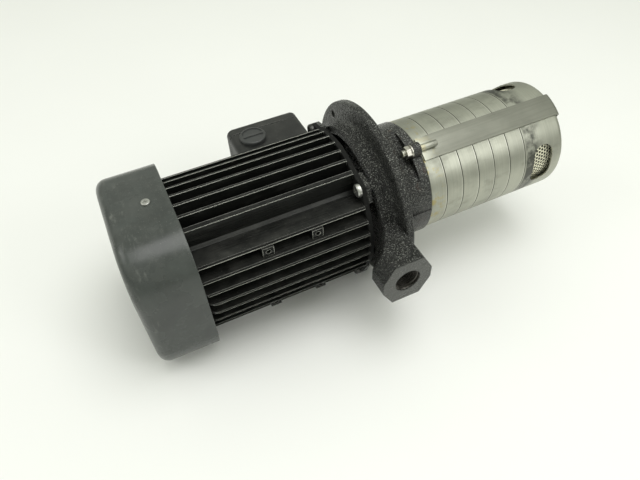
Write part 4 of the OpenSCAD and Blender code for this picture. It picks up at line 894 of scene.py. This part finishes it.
class PUMP_OT_fan_cover(bpy.types.Operator):
    """Makes the fan cover: a rounded square with its back edge rolled in and ring slots in its back"""

    bl_idname = "pump.fan_cover"
    bl_label = "Fan cover"

    def execute(self, context):
        looks = context.scene.pump_cover
        low, high = shaft_box("fan_cover")
        back, rim, half = low[0], high[0], (high[1] - low[1]) / 2
        points, faces = cover_shell(back, rim, half, looks.corner * MM_PER_M, looks.edge * MM_PER_M)
        cover = mesh_object("fan_cover_shell", laid(points), faces)
        thicken(cover, looks.wall, even=True)
        ride(cover, cover_finish(looks, back), replaces=("fan_cover",))
        return {"FINISHED"}


class PUMP_OT_motor(bpy.types.Operator):
    """Finishes the finned housing, with a painted highlight on its fin tips, and the two end shields"""

    bl_idname = "pump.motor"
    bl_label = "Motor housing"

    def execute(self, context):
        looks = context.scene.pump_motor
        low, high = shaft_box("stator_housing")
        dress(housing_finish(looks, high[1]), "stator_housing", "foot_blocks")
        dull = rgba(looks.paint, 0.7)
        shield = painted("shield_paint", dull, rough=0.85, peel=0.0001, worn=0.12, dust_share=0.03)
        shield.set(Specular_IOR_Level=0.25)
        dress(shield, "drive_end_shield")
        dress(metal("cast_aluminium", (0.5, 0.51, 0.52), 0.48, (0.8, 0.8, 0.8), 0.00004), "rear_end_shield")
        return {"FINISHED"}


class PUMP_OT_terminal_box(bpy.types.Operator):
    """Finishes the terminal box, its lid, gasket, board and blanking plugs"""

    bl_idname = "pump.terminal_box"
    bl_label = "Terminal box"

    def execute(self, context):
        looks = context.scene.pump_motor
        base = painted("box_paint", looks.box, rough=0.42, peel=0.00005, worn=0.6, dust_share=0.1)
        dress(base, "terminal_box_base")
        lighter = rgba(looks.box, 1.5)
        lid = painted("box_lid_paint", lighter, rough=0.42, peel=0.00008, worn=0.65, dust_share=0.16)
        dress(lid, "terminal_box_lid")
        dress(moulded("plug_plastic", (0.04, 0.042, 0.041), 0.42), "blanking_plugs")
        rubber = moulded("gasket_rubber", (0.012, 0.012, 0.012), 0.75)
        dress(rubber, "terminal_box_gasket", "head_o_ring", "v_ring")
        dress(moulded("board_resin", (0.3, 0.13, 0.05), 0.45), "terminal_board")
        return {"FINISHED"}


class PUMP_OT_pump_head(bpy.types.Operator):
    """Finishes the cast head and cuts the thread in its discharge port"""

    bl_idname = "pump.pump_head"
    bl_label = "Pump head"

    def execute(self, context):
        looks = context.scene.pump_head
        dress(head_finish(looks), "pump_head")
        thread = helix_thread(
            "port_thread",
            start=PORT_CENTRE,
            axis=(0.0, 1.0, 0.0),
            radius=PORT_RADIUS - 0.02,
            depth=-looks.thread_depth * MM_PER_M,
            pitch=looks.thread_pitch * MM_PER_M,
            first=0.6,
            last=PORT_LENGTH - 1.2,
        )
        ride(thread, metal("thread_iron", (0.09, 0.085, 0.077), 0.25, (0.5, 3.0, 0.5), 0.00003))
        return {"FINISHED"}


STAGES = range(1, 7)
STRAINER_WALL = 0.0006  # metres


class PUMP_OT_chambers(bpy.types.Operator):
    """Finishes the stainless chambers, the suction casing, the strainer, the straps and the impellers"""

    bl_idname = "pump.chambers"
    bl_label = "Stainless stages"

    def execute(self, context):
        looks = context.scene.pump_chambers
        round_sheet = stainless("stainless_round", looks, (5.0, 0.1, 0.1))
        seams(round_sheet, looks)
        splash(round_sheet, looks, 0.65)
        dress(round_sheet, *["chamber_%d" % k for k in STAGES], "suction_casing")
        f = stainless("stainless_strap", looks, (0.1, 3.0, 3.0), tone=0.62)
        # Painted sheen: the strap is lighter near the head, fading out from 40 to 54 mm along the shaft.
        f.coat(f.math("MULTIPLY", f.span(f.along, 54.0, 40.0), 0.7), rgba(looks.steel, 1.6))
        splash(f, looks, 0.35)
        dress(f, "strap_upper", "strap_lower")
        self.lay_strainer(looks)
        dress(metal("pressed_steel", (0.6, 0.59, 0.56), 0.34), *["impeller_%d" % k for k in STAGES])
        dress(metal("sleeve_steel", (0.6, 0.59, 0.56), 0.3), "impeller_spacers", "impeller_nut")
        dress(moulded("ring_carbon", (0.06, 0.06, 0.055), 0.5), "neck_rings", "bottom_bush")
        return {"FINISHED"}

    def lay_strainer(self, looks):
        """The perforated sheet behind the suction windows, bright outside, with painted shade on its inner
        face.
        """
        low, high = shaft_box("strainer")
        radius = high[1]
        pitch, hole = looks.hole_pitch * MM_PER_M, looks.hole * MM_PER_M
        sheet = perforated_sheet("strainer_sheet", radius, low[0], high[0], pitch, hole)
        thicken(sheet, STRAINER_WALL)
        f = metal("strainer_metal", looks.mesh, 0.55, (0.6, 0.6, 0.6), 0.00002, rounding=0.0001, stain=0.1)
        # Painted shade: the sheet's inner face is made nearly black.
        f.coat(f.span(f.radius, radius - 0.3, radius - 0.1, 1.0, 0.0), STRAINER_INSIDE_SHADE)
        ride(sheet, f, replaces=("strainer",))


class PUMP_OT_fasteners(bpy.types.Operator):
    """Finishes all screws, nuts and washers, and winds the threads of the two strap studs"""

    bl_idname = "pump.fasteners"
    bl_label = "Fasteners"

    def execute(self, context):
        zinc = metal("zinc_plate", (0.55, 0.55, 0.52), 0.38, (0.5, 0.5, 0.5), 0.00002)
        dress(zinc, "fan_cover_screws", "end_shield_screws", "terminal_box_screws")
        f = metal("stool_zinc", (0.6, 0.6, 0.57), 0.34, (0.5, 0.5, 0.5), 0.00002)
        far = f.span(f.parts[1], -10.0, 10.0, 0.0, 0.93)
        low = f.span(f.parts[2], 10.0, -10.0, 0.0, 0.93)
        f.coat(f.math("MAXIMUM", far, low), SHADED_ZINC)
        dress(f, "stool_screws")
        bright = metal("nut_steel", (0.62, 0.6, 0.54), 0.3, (1.5, 1.5, 1.5), 0.00002)
        dress(bright, "strap_nuts", "strap_washers")
        self.wind_stud("stud_thread_upper", "strap_upper", 1, context.scene.pump_chambers.stud, bright)
        self.wind_stud("stud_thread_lower", "strap_lower", -1, context.scene.pump_chambers.stud, bright)
        dress(metal("black_oxide", (0.05, 0.05, 0.052), 0.4), "coupling_screws")
        return {"FINISHED"}

    def wind_stud(self, name, strap, side, radius, finish):
        """The thread that shows between a stud's tip and its nut. side is 1 above the shaft, -1 below."""
        nut = shaft_points("strap_nuts")
        nut = nut[nut[:, 2] * side > 0]
        centre = (nut.min(0) + nut.max(0)) / 2
        tip = shaft_box(strap)[0][0]
        thread = helix_thread(
            name,
            start=(tip, centre[1], centre[2]),
            axis=(1.0, 0.0, 0.0),
            radius=radius * MM_PER_M,
            depth=0.28,
            pitch=0.9,
            first=0.1,
            last=nut[:, 0].min() - tip - 0.1,
        )
        ride(thread, finish)


class PUMP_OT_inner_parts(bpy.types.Operator):
    """Finishes the rotor, stator, shafts, bearings, coupling, seal and fan"""

    bl_idname = "pump.inner_parts"
    bl_label = "Inner parts"

    def execute(self, context):
        dress(metal("core_steel", (0.3, 0.31, 0.33), 0.42, (9.0, 0.2, 0.2)), "stator_core", "rotor")
        dress(metal("winding_copper", (0.55, 0.23, 0.09), 0.4, (0.4, 2.5, 2.5), 0.00008), "stator_winding")
        bearing_steel = metal("bearing_steel", (0.62, 0.63, 0.65), 0.16)
        for end in ("rear", "drive"):
            dress(bearing_steel, *[f"{end}_bearing_{part}" for part in ("outer", "inner", "balls")])
        dress(metal("cage_steel", (0.5, 0.47, 0.38), 0.35), "drive_bearing_cage", "rear_bearing_cage")
        dress(metal("spring_steel", (0.3, 0.3, 0.32), 0.36), "wave_spring", "fan_clip")
        turned = metal("turned_steel", (0.55, 0.56, 0.57), 0.28, (7.0, 0.1, 0.1))
        dress(turned, "motor_shaft", "pump_shaft", "coupling")
        dress(metal("seal_metal", (0.42, 0.42, 0.43), 0.3), "seal_rotor")
        dress(moulded("seal_ceramic", (0.75, 0.73, 0.66), 0.3), "seal_seat")
        dress(moulded("fan_plastic", (0.02, 0.02, 0.021), 0.5), "fan")
        return {"FINISHED"}


OPERATORS = (
    PUMP_OT_stage,
    PUMP_OT_fan_cover,
    PUMP_OT_motor,
    PUMP_OT_terminal_box,
    PUMP_OT_pump_head,
    PUMP_OT_chambers,
    PUMP_OT_fasteners,
    PUMP_OT_inner_parts,
)


class PUMP_PT_panel(bpy.types.Panel):
    """Lists the pump's pieces and their sizes and colours"""

    bl_idname = "PUMP_PT_panel"
    bl_label = "Coolant pump"
    bl_space_type = "VIEW_3D"
    bl_region_type = "UI"
    bl_category = "Pump"

    def draw(self, context):
        for operator in OPERATORS:
            self.layout.operator(operator.bl_idname)
        for name, looks in LOOKS.items():
            column = self.layout.column()
            for key in looks.__annotations__:
                column.prop(getattr(context.scene, name), key)


def register():
    for looks in LOOKS.values():
        bpy.utils.register_class(looks)
    for cls in (*OPERATORS, PUMP_PT_panel):
        bpy.utils.register_class(cls)
    for name, looks in LOOKS.items():
        setattr(bpy.types.Scene, name, bpy.props.PointerProperty(type=looks))


def unregister():
    for name in LOOKS:
        delattr(bpy.types.Scene, name)
    for cls in (PUMP_PT_panel, *reversed(OPERATORS), *LOOKS.values()):
        bpy.utils.unregister_class(cls)


def main():
    register()
    for operator in OPERATORS:
        section, name = operator.bl_idname.split(".")
        getattr(getattr(bpy.ops, section), name)()
    bpy.context.view_layer.update()


if __name__ == "__main__":
    main()
